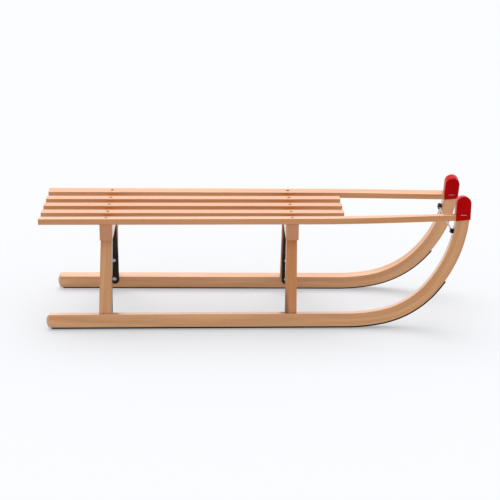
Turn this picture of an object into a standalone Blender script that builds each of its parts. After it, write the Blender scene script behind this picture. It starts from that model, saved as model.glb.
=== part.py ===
"""Wooden toboggan: bent runners, two bridges, a slatted seat and capped horns.

The seat runs along X with the horns at +X, the floor is z = 0 and the two sides mirror
each other about y = 0.  Everything that stands on a runner is laid out with x forward from
the seat's rear end, y inwards from the runner's outer face and z up that face from its
lower edge.  side_shell turns a shape to its side, and an empty leans the side into place.
"""

import bpy
import bmesh
from math import acos, atan2, cos, pi, radians, sin, sqrt
from mathutils import Matrix, Vector

# Driving dimensions, in metres and degrees.
SEAT_REAR_X = -0.5032
FIT_GAP = 0.0003
EDGE_CHAMFER = 0.0012

# Runners: straight from the rear, then three arcs of (radius, angle) up to the horn.
RUNNER_WIDTH = 0.0235
RUNNER_THICKNESS = 0.031
RUNNER_REAR = 0.0118
RUNNER_REAR_BULGE = 0.008
RUNNER_SPREAD = 0.1523
RUNNER_LEAN = radians(9.25)
RUNNER_TOE_IN = 0.009
BEND_START = 0.7195
BENDS = ((0.423, 11.4), (0.226, 37.1), (0.3065, 39.5))
HORN_TIP = 0.3067
BEND_STEP = 3.0
TIP_STEPS = 8
REAR_STEPS = 6

# Steel shoes under the runners and their countersunk screws.
SHOE_WIDTH = 0.021
SHOE_THICKNESS = 0.003
SHOE_REAR = 0.0249
SHOE_END_ANGLE = 55.0
SHOE_SCREW_PLACES = (0.050, 0.265, 0.480, 0.695)
SHOE_SCREW_LENGTH = 0.016

# Seat: three flat slats and two long side rails that run on to the horns.
SEAT_TOP = 0.263
SLAT_WIDTH = 0.0272
SLAT_THICKNESS = 0.0139
SLAT_PITCH = 0.056
SLAT_LENGTH = 0.7123
RAIL_OUTER_Y = 0.1267
RAIL_OUTER_Z = 0.26595
RAIL_TILT = radians(5.15)
RAIL_TAPER = 0.007
RAIL_BEND_START = 0.63
RAIL_STATIONS = 10
RAIL_END_WIDTH = 0.0245
RAIL_END_UP = 0.2650
RAIL_TENON = (0.012, 0.007)
RAIL_TENON_DEPTH = 0.013
NOTCH_STATIONS = (-0.012, -0.006, 0.0, 0.004)
NOTCH_BELOW = 0.004

# Bridges: a crossbar on two splayed legs, tenoned at both ends.
BRIDGES = {
    "rear": {"x": 0.1558, "leg_top": 0.0265, "leg_foot": 0.0295, "foot_back": 0.0050},
    "front": {"x": 0.5878, "leg_top": 0.0250, "leg_foot": 0.0275, "foot_back": 0.0012},
}
CROSSBAR_WIDTH = 0.0295
CROSSBAR_UNDERSIDE = 0.2135
LEG_INSET = 0.0045
LEG_TENON_INSET = 0.0045
LEG_TENON_DEPTH = 0.020
MORTISE_MOUTH = 0.002
CROSSBAR_END_INSET = 0.0006

# Flat steel braces: a bow under each crossbar, riveted to both legs and both runners.
BRACE_WIDTH = 0.022
BRACE_THICKNESS = 0.0028
BRACE_LOW_END = 0.012
BRACE_LEAVES_LEG = 0.097
BRACE_TOP_HALF = 0.046
BRACE_LEG_BEND = 0.035
BRACE_TOP_BEND = 0.012
BRACE_BEND_STEPS = 4
BRACE_END_SHARES = (0.0, 0.1, 0.3, 0.6)
BRACE_END_LEAST = 0.25
BRACE_RIVET_HEIGHTS = (0.0265, 0.080)
BRACE_RIVET_LENGTH = 0.014
BRACE_SCREW_Y = 0.026
BRACE_SCREW_LENGTH = 0.018

# Plastic caps over the horn tips, each held by a wire staple on either face.
CAP_WALL = 0.00175
CAP_BOTTOM_REAR = 0.2502
CAP_BOTTOM_FRONT = 0.2534
CAP_ROUNDING = 0.0016
STAPLE_WIRE = 0.0009
STAPLE_CROWN = 0.0128
STAPLE_LEG = 0.0085
STAPLE_UP = 0.2645

# Tow bar between the horns, held in a small block on each horn's rear face.
TOW_BAR_RADIUS = 0.0022
TOW_BAR_UP = 0.2255
TOW_BLOCK = (0.0068, 0.0165, 0.0100)
TOW_BLOCK_INSET = 0.0028
TOW_BLOCK_CHAMFER = 0.0012
TOW_SCREW_ACROSS = 0.008
TOW_BAR_INSERTION = 0.0065
TOW_SCREW_LENGTH = 0.016

# Wood screws through the slats and rails into the crossbars.
SEAT_SCREW_LENGTH = 0.031
SCREW_RADIUS = 0.0019
SCREW_HEAD_RADIUS = 0.0039
SCREW_HEAD_DEPTH = 0.0026
SCREW_SINK = 0.0004
SCREW_RIM = 0.0004
SCREW_POINT_LENGTH = 0.004
SCREW_POINT_SHARE = 0.45
HOLE_MOUTH = 0.003
RIVET_MOUTH = 0.004
RIVET_RADIUS = 0.0024
RIVET_HEAD_RADIUS = 0.0052
RIVET_HEAD_HEIGHT = 0.0026
ROUND_SIDES = 10

SIDES = {"left": 1, "right": -1}

# Material name: colour, roughness, metallic.
FINISHES = {
    "varnished_beech": ((0.604, 0.352, 0.161, 1), 0.45, 0.0),
    "black_steel": ((0.018, 0.014, 0.012, 1), 0.5, 0.3),
    "bright_steel": ((0.62, 0.62, 0.64, 1), 0.3, 1.0),
    "shoe_steel": ((0.061, 0.050, 0.047, 1), 0.4, 1.0),
    "red_plastic": ((0.42, 0.002, 0.004, 1), 0.35, 0.0),
    "black_plastic": ((0.015, 0.015, 0.016, 1), 0.5, 0.0),
}


# ---- scene and mesh helpers

def clear_scene():
    """Start from an empty scene."""
    for obj in list(bpy.data.objects):
        bpy.data.objects.remove(obj, do_unlink=True)


def make_finish(name):
    """Principled material with the named finish's values."""
    colour, roughness, metallic = FINISHES[name]
    material = bpy.data.materials.new(name)
    material.use_nodes = True
    shader = material.node_tree.nodes["Principled BSDF"]
    shader.inputs["Base Color"].default_value = colour
    shader.inputs["Roughness"].default_value = roughness
    shader.inputs["Metallic"].default_value = metallic
    return material


def make_object(name, shells, finish=None, parent=None):
    """Object from closed shells, each a list of rings with the same number of points."""
    bm = bmesh.new()
    for rings in shells:
        loops = [[bm.verts.new(point) for point in ring] for ring in rings]
        for lower, upper in zip(loops, loops[1:]):
            for i in range(len(lower)):
                j = (i + 1) % len(lower)
                bm.faces.new((lower[i], lower[j], upper[j], upper[i]))
        bm.faces.new(list(reversed(loops[0])))
        bm.faces.new(loops[-1])
    bmesh.ops.recalc_face_normals(bm, faces=bm.faces)
    mesh = bpy.data.meshes.new(name)
    bm.to_mesh(mesh)
    bm.free()
    obj = bpy.data.objects.new(name, mesh)
    bpy.context.collection.objects.link(obj)
    obj.parent = parent
    if finish:
        mesh.materials.append(make_finish(finish))
    return obj


def make_fasteners(name, labels, shells, finish, parent=None):
    """One object for each fastener of a group, smooth where it is round."""
    for label, shell in zip(labels, shells):
        shade_round(make_object(f"{name}_{label}", [shell], finish, parent))


def make_cutter(name, shells, parent=None):
    """Guide object for a Boolean, left out of the build."""
    cutter = make_object(name, shells, parent=parent)
    cutter.hide_render = True
    cutter.display_type = "WIRE"
    return cutter


def cut(obj, cutter):
    """Take the cutter's solids out of the object."""
    modifier = obj.modifiers.new(cutter.name, "BOOLEAN")
    modifier.operation = "DIFFERENCE"
    modifier.solver = "EXACT"
    modifier.object = cutter


def round_edges(obj, width, segments=1):
    """Bevel the edges that turn sharply."""
    modifier = obj.modifiers.new("rounded_edges", "BEVEL")
    modifier.width = width
    modifier.segments = segments
    modifier.limit_method = "ANGLE"
    modifier.angle_limit = radians(40)


def shade_round(obj):
    """Smooth shading that keeps the sharp edges."""
    obj.data.shade_smooth()
    obj.data.set_sharp_from_angle(angle=radians(35))


def slab(outline, low, high):
    """Rings of an (x, z) outline extruded along y."""
    return [[(x, y, z) for x, z in outline] for y in (low, high)]


def rectangle(x, corners, chamfer=EDGE_CHAMFER):
    """Ring at x of a four-cornered (y, z) section with its corners chamfered."""
    ring = []
    for i, corner in enumerate(corners):
        here = Vector(corner)
        before = Vector(corners[i - 1])
        after = Vector(corners[(i + 1) % 4])
        for other in (before, after):
            step = here + (other - here).normalized() * chamfer
            ring.append((x, step.x, step.y))
    return ring


def shrunk(corners, distance):
    """The (y, z) corners moved towards their middle by a distance each way."""
    moved = []
    for i, corner in enumerate(corners):
        here = Vector(corner)
        before = (Vector(corners[i - 1]) - here).normalized()
        after = (Vector(corners[(i + 1) % 4]) - here).normalized()
        moved.append(tuple(here + (before + after) * distance))
    return moved


def turned(profile, place):
    """Rings of a turned piece: (radius, depth) pairs along the place's local -Z."""
    shell = []
    for radius, depth in profile:
        ring = []
        for i in range(ROUND_SIDES):
            angle = 2 * pi * i / ROUND_SIDES
            ring.append(place @ Vector((radius * cos(angle), radius * sin(angle), -depth)))
        shell.append(ring)
    return shell


def frame_at(position, outward):
    """Placement whose +Z points outwards from a surface at the position."""
    turn = Vector(outward).normalized().to_track_quat("Z", "Y").to_matrix().to_4x4()
    return Matrix.Translation(position) @ turn


def screw_profile(length, grow=0.0, mouth=0.0):
    """Countersunk wood screw; grow and mouth give the profile of its hole."""
    head = SCREW_HEAD_RADIUS + grow
    shank = SCREW_RADIUS + grow
    return [
        (head, SCREW_SINK - mouth),
        (head, SCREW_SINK + SCREW_RIM),
        (shank, SCREW_SINK + SCREW_HEAD_DEPTH),
        (shank, length - SCREW_POINT_LENGTH),
        (shank if grow else shank * SCREW_POINT_SHARE, length + grow),
    ]


def screw(place, length):
    """Shell of one countersunk screw."""
    return turned(screw_profile(length), place)


def screw_hole(place, length):
    """Shell of the hole for one countersunk screw."""
    return turned(screw_profile(length, grow=FIT_GAP, mouth=HOLE_MOUTH), place)


# ---- runner geometry, in a side's own frame

def runner_line(offset, first_angle=0.0, last_angle=None):
    """Points (x, z, angle) along the runner at an offset above its sole."""
    total = sum(angle for _, angle in BENDS)
    last = total if last_angle is None else last_angle
    points = []
    x, z, turned_by = BEND_START, 0.0, 0.0
    for radius, angle in BENDS:
        start, end = turned_by, turned_by + angle
        centre_x = x - radius * sin(radians(start))
        centre_z = z + radius * cos(radians(start))
        low, high = max(start, first_angle), min(end, last)
        if high > low:
            steps = max(2, round((high - low) / BEND_STEP))
            for i in range(steps + 1):
                here = radians(low + (high - low) * i / steps)
                point = (
                    centre_x + (radius - offset) * sin(here),
                    centre_z - (radius - offset) * cos(here),
                    here,
                )
                if not points or here > points[-1][2] + 1e-6:
                    points.append(point)
        x = centre_x + radius * sin(radians(end))
        z = centre_z - radius * cos(radians(end))
        turned_by = end
    return points


def horn_outline(grow=0.0):
    """Outline (x, z) from the bend's start to the tip, the tip's centre and its angle."""
    sole = [(x, z) for x, z, _ in runner_line(-grow)]
    upper = [(x, z) for x, z, _ in runner_line(RUNNER_THICKNESS + grow)]
    tip_angle = radians(sum(angle for _, angle in BENDS))
    half = RUNNER_THICKNESS / 2
    middle = (Vector(sole[-1]) + Vector(upper[-1])) / 2
    along = Vector((cos(tip_angle), sin(tip_angle)))
    centre = middle + along * ((HORN_TIP - half - middle.y) / along.y)
    tip = []
    for i in range(TIP_STEPS + 1):
        angle = tip_angle - pi / 2 + pi * i / TIP_STEPS
        tip.append(tuple(centre + (half + grow) * Vector((cos(angle), sin(angle)))))
    return sole + tip + list(reversed(upper)), centre, tip_angle


def runner_outline():
    """Side outline of a whole runner, with a bulged rear end."""
    horn, _, _ = horn_outline()
    half = RUNNER_THICKNESS / 2
    radius = (half * half + RUNNER_REAR_BULGE ** 2) / (2 * RUNNER_REAR_BULGE)
    spread = acos((radius - RUNNER_REAR_BULGE) / radius)
    rear = []
    for i in range(REAR_STEPS + 1):
        angle = pi - spread + 2 * spread * i / REAR_STEPS
        rear.append((RUNNER_REAR + radius + radius * cos(angle), half + radius * sin(angle)))
    return rear + horn


def rear_face(up):
    """Place x and surface angle of the horn's rear face at a height."""
    line = runner_line(RUNNER_THICKNESS)
    for (x0, z0, a0), (x1, z1, a1) in zip(line, line[1:]):
        if z0 <= up <= z1:
            share = (up - z0) / (z1 - z0)
            return x0 + (x1 - x0) * share, a0 + (a1 - a0) * share
    x, z, angle = line[-1]
    return x + (up - z) * cos(angle) / sin(angle), angle


def outer_edge_height():
    """Height of the runner's outer lower edge when the shoe's inner edge is on the floor."""
    reach = RUNNER_WIDTH / 2 + SHOE_WIDTH / 2
    return reach * sin(RUNNER_LEAN) + (SHOE_THICKNESS + FIT_GAP) * cos(RUNNER_LEAN)


def make_side_frame(name, side):
    """Empty that leans one side in and turns it to its toe-in."""
    frame = bpy.data.objects.new("side_" + name, None)
    bpy.context.collection.objects.link(frame)
    place = Matrix.Translation((SEAT_REAR_X, side * RUNNER_SPREAD, outer_edge_height()))
    turn = Matrix.Rotation(-side * atan2(RUNNER_TOE_IN, 1), 4, "Z")
    lean = Matrix.Rotation(side * RUNNER_LEAN, 4, "X")
    frame.matrix_world = place @ turn @ lean
    return frame


def side_shell(shell, side):
    """A shell given with y inwards from the outer face, turned to the side's frame."""
    return [[(x, -side * y, z) for x, y, z in ring] for ring in shell]


def side_frame_at(position, outward, side):
    """frame_at for a position and direction given with y inwards."""
    x, y, z = position
    i, j, k = outward
    return frame_at((x, -side * y, z), (i, -side * j, k))


# ---- legs

def leg_levels(frame, side):
    """Heights up the runner's face where the crossbar's underside meets a leg."""
    inverse = frame.matrix_world.inverted()
    levels = []
    for across in (LEG_INSET, RUNNER_WIDTH):
        low = frame.matrix_world @ Vector((0, -side * across, 0.1))
        high = frame.matrix_world @ Vector((0, -side * across, 0.2))
        share = (CROSSBAR_UNDERSIDE - FIT_GAP - low.z) / (high.z - low.z)
        point = low + (high - low) * share
        levels.append((inverse @ point).z)
    return levels


def leg_section(bridge, up, inset, levels):
    """Limits (rear, front, outer, inner) of a leg at a height, less an inset."""
    top = sum(levels) / 2
    share = (top - up) / (top - RUNNER_THICKNESS)
    width = bridge["leg_top"] + (bridge["leg_foot"] - bridge["leg_top"]) * share
    middle = bridge["x"] - bridge["foot_back"] * share
    x0, x1 = middle - width / 2 + inset, middle + width / 2 - inset
    return x0, x1, LEG_INSET + inset, RUNNER_WIDTH - inset


def leg_ring(bridge, ups, inset, levels):
    """Ring of a leg; ups gives the height at its outer and inner face."""
    x0, x1, outer, inner = leg_section(bridge, sum(ups) / 2, inset, levels)
    span = RUNNER_WIDTH - LEG_INSET

    def height(across):
        return ups[0] + (ups[1] - ups[0]) * (across - LEG_INSET) / span

    corners = ((x0, outer), (x1, outer), (x1, inner), (x0, inner))
    return [(x, across, height(across)) for x, across in corners]


def leg_shell(bridge, levels):
    """A leg with a tenon at its foot and one at its head."""
    foot = RUNNER_THICKNESS + FIT_GAP
    low = (foot - LEG_TENON_DEPTH,) * 2
    head = [level + LEG_TENON_DEPTH for level in levels]
    return [
        leg_ring(bridge, low, LEG_TENON_INSET, levels),
        leg_ring(bridge, (foot, foot), LEG_TENON_INSET, levels),
        leg_ring(bridge, (foot, foot), 0.0, levels),
        leg_ring(bridge, levels, 0.0, levels),
        leg_ring(bridge, levels, LEG_TENON_INSET, levels),
        leg_ring(bridge, head, LEG_TENON_INSET, levels),
    ]


def leg_mortises(bridge, levels):
    """Shells that cut the foot mortise in the runner and the head mortise."""
    inset = LEG_TENON_INSET - FIT_GAP
    foot = RUNNER_THICKNESS + MORTISE_MOUTH
    low = RUNNER_THICKNESS - LEG_TENON_DEPTH - FIT_GAP
    below = [level - MORTISE_MOUTH for level in levels]
    head = [level + LEG_TENON_DEPTH + 2 * FIT_GAP for level in levels]
    foot_cut = [
        leg_ring(bridge, (low, low), inset, levels),
        leg_ring(bridge, (foot, foot), inset, levels),
    ]
    head_cut = [
        leg_ring(bridge, below, inset, levels),
        leg_ring(bridge, head, inset, levels),
    ]
    return foot_cut, head_cut


# ---- seat rails

def rail_corners(x, side, frame):
    """Section (y, z) of a rail at x forward of the seat's rear end, and its tilt."""
    inner_x, _ = rear_face(RAIL_END_UP)
    end = frame.matrix_world @ Vector((inner_x, 0, RAIL_END_UP))
    run = max(0.0, (x - RAIL_BEND_START) / (inner_x - RAIL_BEND_START))
    bend = run * run * (3 - run) / 2
    y = RAIL_OUTER_Y - RAIL_TAPER * x
    y += (abs(end.y) - (RAIL_OUTER_Y - RAIL_TAPER * inner_x)) * bend
    z = RAIL_OUTER_Z + (end.z - RAIL_OUTER_Z) * bend
    tilt = RAIL_TILT + (RUNNER_LEAN - RAIL_TILT) * bend
    width = SLAT_WIDTH + (RAIL_END_WIDTH - SLAT_WIDTH) * bend
    inwards = Vector((-cos(tilt), -sin(tilt)))
    down = Vector((sin(tilt), -cos(tilt))) * SLAT_THICKNESS
    outer = Vector((y, z))
    inner = outer + inwards * width
    corners = (outer, inner, inner + down, outer + down)
    return [(side * corner.x, corner.y) for corner in corners], tilt


def rail_end_x():
    """Where a rail stops against the horn, measured from the seat's rear end."""
    low, _ = rear_face(RAIL_END_UP - SLAT_THICKNESS)
    return low - 2 * FIT_GAP


def tenon_corners(corners, grow):
    """Tenon section in the middle of a rail's end section."""
    outer, inner, low_inner, _ = [Vector(corner) for corner in corners]
    across = (inner - outer).normalized()
    down = (low_inner - inner).normalized()
    middle = sum((Vector(corner) for corner in corners), Vector((0, 0))) / 4
    half_wide = across * (RAIL_TENON[0] / 2 + grow)
    half_tall = down * (RAIL_TENON[1] / 2 + grow)
    return [
        middle - half_wide - half_tall,
        middle + half_wide - half_tall,
        middle + half_wide + half_tall,
        middle - half_wide + half_tall,
    ]


def rail_shell(side, frame):
    """A rail: straight over the bridges, then drawn in to the horn with a tenon."""
    end = rail_end_x()
    rear, _ = rail_corners(0.0, side, frame)
    rings = [rectangle(SEAT_REAR_X, shrunk(rear, EDGE_CHAMFER))]
    rings.append(rectangle(SEAT_REAR_X + EDGE_CHAMFER, rear))
    for i in range(RAIL_STATIONS + 1):
        x = RAIL_BEND_START + (end - RAIL_BEND_START) * i / RAIL_STATIONS
        corners, _ = rail_corners(x, side, frame)
        rings.append(rectangle(SEAT_REAR_X + x, corners))
    tenon = tenon_corners(corners, 0.0)
    rings.append(rectangle(SEAT_REAR_X + end, tenon, EDGE_CHAMFER / 2))
    rings.append(rectangle(SEAT_REAR_X + end + RAIL_TENON_DEPTH, tenon, EDGE_CHAMFER / 2))
    return rings


def rail_mortise(side, frame):
    """Shell of the mortise for a rail's tenon."""
    end = rail_end_x()
    corners, _ = rail_corners(end, side, frame)
    tenon = tenon_corners(corners, FIT_GAP)
    reach = end + RAIL_TENON_DEPTH + FIT_GAP
    return [
        rectangle(SEAT_REAR_X + x, tenon, EDGE_CHAMFER / 2) for x in (end - HOLE_MOUTH, reach)
    ]


def cap_notch(side, frame):
    """Shell that opens a cap's rear wall for the rail."""
    end = rail_end_x()
    rings = []
    for step in NOTCH_STATIONS:
        x = end + step
        corners, _ = rail_corners(x, side, frame)
        around = [Vector(corner) for corner in shrunk(corners, -1.3 * FIT_GAP)]
        down = (around[2] - around[1]).normalized() * NOTCH_BELOW
        open_below = around[:2] + [around[2] + down, around[3] + down]
        rings.append(rectangle(SEAT_REAR_X + x, open_below, FIT_GAP))
    return rings


# ---- seat pieces

def slat_shell(y):
    """A flat slat with eased ends."""
    half = SLAT_WIDTH / 2
    low = SEAT_TOP - SLAT_THICKNESS
    corners = [(y + half, SEAT_TOP), (y - half, SEAT_TOP), (y - half, low), (y + half, low)]
    small = shrunk(corners, EDGE_CHAMFER)
    front = SEAT_REAR_X + SLAT_LENGTH
    return [
        rectangle(SEAT_REAR_X, small),
        rectangle(SEAT_REAR_X + EDGE_CHAMFER, corners),
        rectangle(front - EDGE_CHAMFER, corners),
        rectangle(front, small),
    ]


def crossbar_shell(bridge, frame):
    """Crossbar with a top that rises under the tilted rails, as rings along x."""
    corners, tilt = rail_corners(bridge["x"], 1, frame)
    inner, outer = corners[2], corners[3]
    flat = SEAT_TOP - SLAT_THICKNESS - FIT_GAP
    slope = sin(tilt) / cos(tilt)
    knee = inner[0] - (inner[1] - FIT_GAP - flat) / slope
    end = outer[0] - CROSSBAR_END_INSET
    tip = flat + (end - knee) * slope
    half = [(knee, flat), (end, tip), (end, CROSSBAR_UNDERSIDE)]
    outline = half + [(-y, z) for y, z in reversed(half)]
    middle = SEAT_REAR_X + bridge["x"]
    ends = (middle - CROSSBAR_WIDTH / 2, middle + CROSSBAR_WIDTH / 2)
    return [[(x, y, z) for y, z in outline] for x in ends]


def seat_screw_places(bridge, frame):
    """Placement of the five screws over one crossbar, by slat name."""
    x = SEAT_REAR_X + bridge["x"]
    places = {}
    for name, row in (("left", 1), ("centre", 0), ("right", -1)):
        places["seat_slat_" + name] = frame_at((x, row * SLAT_PITCH, SEAT_TOP), (0, 0, 1))
    for name, side in SIDES.items():
        corners, tilt = rail_corners(bridge["x"], 1, frame)
        outer, inner = corners[0], corners[1]
        middle = (x, side * (outer[0] + inner[0]) / 2, (outer[1] + inner[1]) / 2)
        places["seat_rail_" + name] = frame_at(middle, (0, -side * sin(tilt), cos(tilt)))
    return places


# ---- braces

def brace_path(bridge, frame):
    """Half of the bow's outer face as (y, z) points, from the low end to the middle."""
    face = RUNNER_WIDTH + 1.5 * FIT_GAP

    def on_leg(up):
        point = frame.matrix_world @ Vector((bridge["x"], -face, up))
        return Vector((point.y, point.z))

    low, leaves = on_leg(BRACE_LOW_END), on_leg(BRACE_LEAVES_LEG)
    under = CROSSBAR_UNDERSIDE - FIT_GAP
    corner = Vector((BRACE_TOP_HALF, under))
    points = [low, on_leg(BRACE_LOW_END + BRACE_WIDTH / 2)]
    points += round_corner(points[-1], leaves, corner, BRACE_LEG_BEND)
    points += round_corner(leaves, corner, Vector((0, under)), BRACE_TOP_BEND)
    points.append(Vector((0, under)))
    return points


def round_corner(before, corner, after, radius):
    """Points of an arc that eases one corner of a path."""
    back = (before - corner).normalized()
    ahead = (after - corner).normalized()
    half = back.angle(ahead) / 2
    reach = radius / (sin(half) / cos(half))
    centre = corner + (back + ahead).normalized() * (radius / sin(half))
    start = corner + back * reach - centre
    end = corner + ahead * reach - centre
    sweep = start.angle(end)
    points = []
    for i in range(BRACE_BEND_STEPS + 1):
        share = i / BRACE_BEND_STEPS
        blend = start * sin((1 - share) * sweep) + end * sin(share * sweep)
        points.append(centre + blend / sin(sweep))
    return points


def brace_shell(bridge, frame):
    """A flat steel bow with round lower ends, as one band of rings."""
    half_path = brace_path(bridge, frame)
    path = [Vector((point.x, point.y)) for point in half_path]
    path += [Vector((-point.x, point.y)) for point in reversed(half_path[:-1])]
    middle = SEAT_REAR_X + bridge["x"]
    rings = []
    last = len(path) - 1
    for i, point in enumerate(path):
        ahead = (path[min(i + 1, last)] - path[max(i - 1, 0)]).normalized()
        inwards = Vector((-ahead.y, ahead.x)) * BRACE_THICKNESS
        inner = point + inwards
        half = BRACE_WIDTH / 2
        if i in (0, last):
            rounded = brace_round_end(point, inner, ahead, i == 0)
            rings.extend(brace_ring(middle, *step) for step in rounded)
        else:
            rings.append(brace_ring(middle, point, inner, half))
    return rings


def brace_round_end(outer, inner, ahead, first):
    """Steps (outer, inner, half width) that round off one end of the bow."""
    radius = BRACE_WIDTH / 2
    steps = []
    least = radius * BRACE_END_LEAST
    for share in BRACE_END_SHARES:
        depth = radius * share
        half = max(sqrt(radius ** 2 - (radius - depth) ** 2), least)
        shift = ahead * depth * (1 if first else -1)
        steps.append((outer + shift, inner + shift, half))
    return steps if first else list(reversed(steps))


def brace_ring(middle, outer, inner, half):
    """Ring of the bow across x."""
    return [
        (middle - half, outer.x, outer.y),
        (middle + half, outer.x, outer.y),
        (middle + half, inner.x, inner.y),
        (middle - half, inner.x, inner.y),
    ]


def rivet_places(bridge, side):
    """Placement of the two rivets through one brace end, in the side's frame."""
    across = RUNNER_WIDTH + 1.5 * FIT_GAP + BRACE_THICKNESS
    return [
        side_frame_at((bridge["x"], across, up), (0, 1, 0), side) for up in BRACE_RIVET_HEIGHTS
    ]


def rivet_shell(place):
    """Round-headed rivet standing on the brace."""
    profile = [(RIVET_HEAD_RADIUS * 0.3, -RIVET_HEAD_HEIGHT - FIT_GAP)]
    for share in (0.35, 0.7, 1.0):
        radius = RIVET_HEAD_RADIUS * sin(share * pi / 2)
        height = RIVET_HEAD_HEIGHT * cos(share * pi / 2)
        profile.append((radius, -height * 0.9 - FIT_GAP - 0.0001))
    profile.append((RIVET_RADIUS, -FIT_GAP))
    profile.append((RIVET_RADIUS, BRACE_THICKNESS + BRACE_RIVET_LENGTH))
    return turned(profile, place)


def rivet_hole(place):
    """Hole for a rivet's shank."""
    radius = RIVET_RADIUS + FIT_GAP
    depth = BRACE_THICKNESS + BRACE_RIVET_LENGTH + FIT_GAP
    return turned([(radius, -RIVET_MOUTH), (radius, depth)], place)


def brace_screw_places(bridge):
    """Placement of the two screws that hold the bow under its crossbar."""
    x = SEAT_REAR_X + bridge["x"]
    low = CROSSBAR_UNDERSIDE - FIT_GAP - BRACE_THICKNESS
    return [frame_at((x, y, low), (0, 0, -1)) for y in (-BRACE_SCREW_Y, BRACE_SCREW_Y)]


# ---- horn caps, staples and tow bar

def cap_outline():
    """Side outline of a cap: straight sides, a round top and a sloping mouth."""
    _, centre, angle = horn_outline()
    reach = RUNNER_THICKNESS / 2 + CAP_WALL
    along = Vector((cos(angle), sin(angle)))
    front = centre + reach * Vector((sin(angle), -cos(angle)))
    rear = centre - reach * Vector((sin(angle), -cos(angle)))
    front_low = front + along * ((CAP_BOTTOM_FRONT - front.y) / along.y)
    rear_low = rear + along * ((CAP_BOTTOM_REAR - rear.y) / along.y)
    outline = [tuple(rear_low), tuple(front_low)]
    steps = 12
    for i in range(steps + 1):
        turn = angle - pi / 2 + pi * i / steps
        outline.append(tuple(centre + reach * Vector((cos(turn), sin(turn)))))
    return outline


def cap_middle_x():
    """Middle of the cap along x, where the staples sit."""
    _, centre, angle = horn_outline()
    return centre.x - (centre.y - STAPLE_UP) * cos(angle) / sin(angle)


def cap_face(outer_face):
    """Place of a cap's outer or inner face across the horn, and the way into it."""
    return (-CAP_WALL, 1) if outer_face else (RUNNER_WIDTH + CAP_WALL, -1)


def staple_shell(side, outer_face):
    """Wire staple as a U-shaped slab: its crown lies on the cap, its legs go in."""
    surface, into = cap_face(outer_face)
    proud = surface - into * (STAPLE_WIRE + FIT_GAP)
    under = surface - into * FIT_GAP
    tip = surface + into * STAPLE_LEG
    middle = cap_middle_x()
    half = STAPLE_CROWN / 2
    inner = half - STAPLE_WIRE
    outline = [
        (middle - half, proud),
        (middle + half, proud),
        (middle + half, tip),
        (middle + inner, tip),
        (middle + inner, under),
        (middle - inner, under),
        (middle - inner, tip),
        (middle - half, tip),
    ]
    heights = (STAPLE_UP - STAPLE_WIRE / 2, STAPLE_UP + STAPLE_WIRE / 2)
    return side_shell([[(x, y, z) for x, y in outline] for z in heights], side)


def staple_holes(side, outer_face):
    """Square holes for the two legs of a staple."""
    surface, into = cap_face(outer_face)
    ends = (surface - into * MORTISE_MOUTH, surface + into * (STAPLE_LEG + FIT_GAP))
    half = STAPLE_WIRE / 2 + FIT_GAP
    corners = ((-half, -half), (half, -half), (half, half), (-half, half))
    holes = []
    for way in (-1, 1):
        x = cap_middle_x() + way * (STAPLE_CROWN - STAPLE_WIRE) / 2
        rings = [[(x + i, y, STAPLE_UP + k) for i, k in corners] for y in ends]
        holes.append(side_shell(rings, side))
    return holes


def tow_block_shell(side):
    """Block on the horn's rear face that holds one end of the tow bar."""
    deep, wide, tall = TOW_BLOCK
    x, angle = rear_face(TOW_BAR_UP)
    along = Vector((cos(angle), sin(angle)))
    back = Vector((-sin(angle), cos(angle)))
    foot = Vector((x, TOW_BAR_UP)) + back * (2 * FIT_GAP)
    chamfer = TOW_BLOCK_CHAMFER
    outline = [
        foot - along * tall / 2,
        foot + along * tall / 2,
        foot + along * tall / 2 + back * (deep - chamfer),
        foot + along * (tall / 2 - chamfer) + back * deep,
        foot - along * (tall / 2 - chamfer) + back * deep,
        foot - along * tall / 2 + back * (deep - chamfer),
    ]
    return side_shell(slab(outline, TOW_BLOCK_INSET, TOW_BLOCK_INSET + wide), side)


def tow_bar_axis(frame, side):
    """World position of the tow bar's end in one block."""
    deep, wide, _ = TOW_BLOCK
    x, angle = rear_face(TOW_BAR_UP)
    back = Vector((-sin(angle), cos(angle)))
    middle = Vector((x, TOW_BAR_UP)) + back * (2 * FIT_GAP + deep * 0.5)
    across = TOW_BLOCK_INSET + wide - TOW_BAR_INSERTION
    return frame.matrix_world @ Vector((middle.x, -side * across, middle.y))


def tow_bar_shell(frames, radius, extra):
    """Rings of the tow bar along y, longer at each end by extra."""
    point = tow_bar_axis(frames["left"], 1)
    half = abs(point.y) + extra
    return turned(
        [(radius, 0.0), (radius, 2 * half)],
        frame_at((point.x, half, point.z), (0, 1, 0)),
    )


def tow_screw_place(side):
    """Placement of the screw through a tow bar block, in the side's frame."""
    deep, _, _ = TOW_BLOCK
    x, angle = rear_face(TOW_BAR_UP)
    back = Vector((-sin(angle), cos(angle)))
    head = Vector((x, TOW_BAR_UP)) + back * (2 * FIT_GAP + deep)
    return side_frame_at((head.x, TOW_SCREW_ACROSS, head.y), (back.x, 0, back.y), side)


# ---- shoes

def shoe_outline():
    """Side outline of the steel strip that follows the runner's sole."""
    low = [(x, z) for x, z, _ in runner_line(-FIT_GAP - SHOE_THICKNESS, 0, SHOE_END_ANGLE)]
    high = [(x, z) for x, z, _ in runner_line(-FIT_GAP, 0, SHOE_END_ANGLE)]
    rear_low = (SHOE_REAR, -FIT_GAP - SHOE_THICKNESS)
    rear_high = (SHOE_REAR, -FIT_GAP)
    return [rear_high, rear_low] + low + list(reversed(high))


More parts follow.
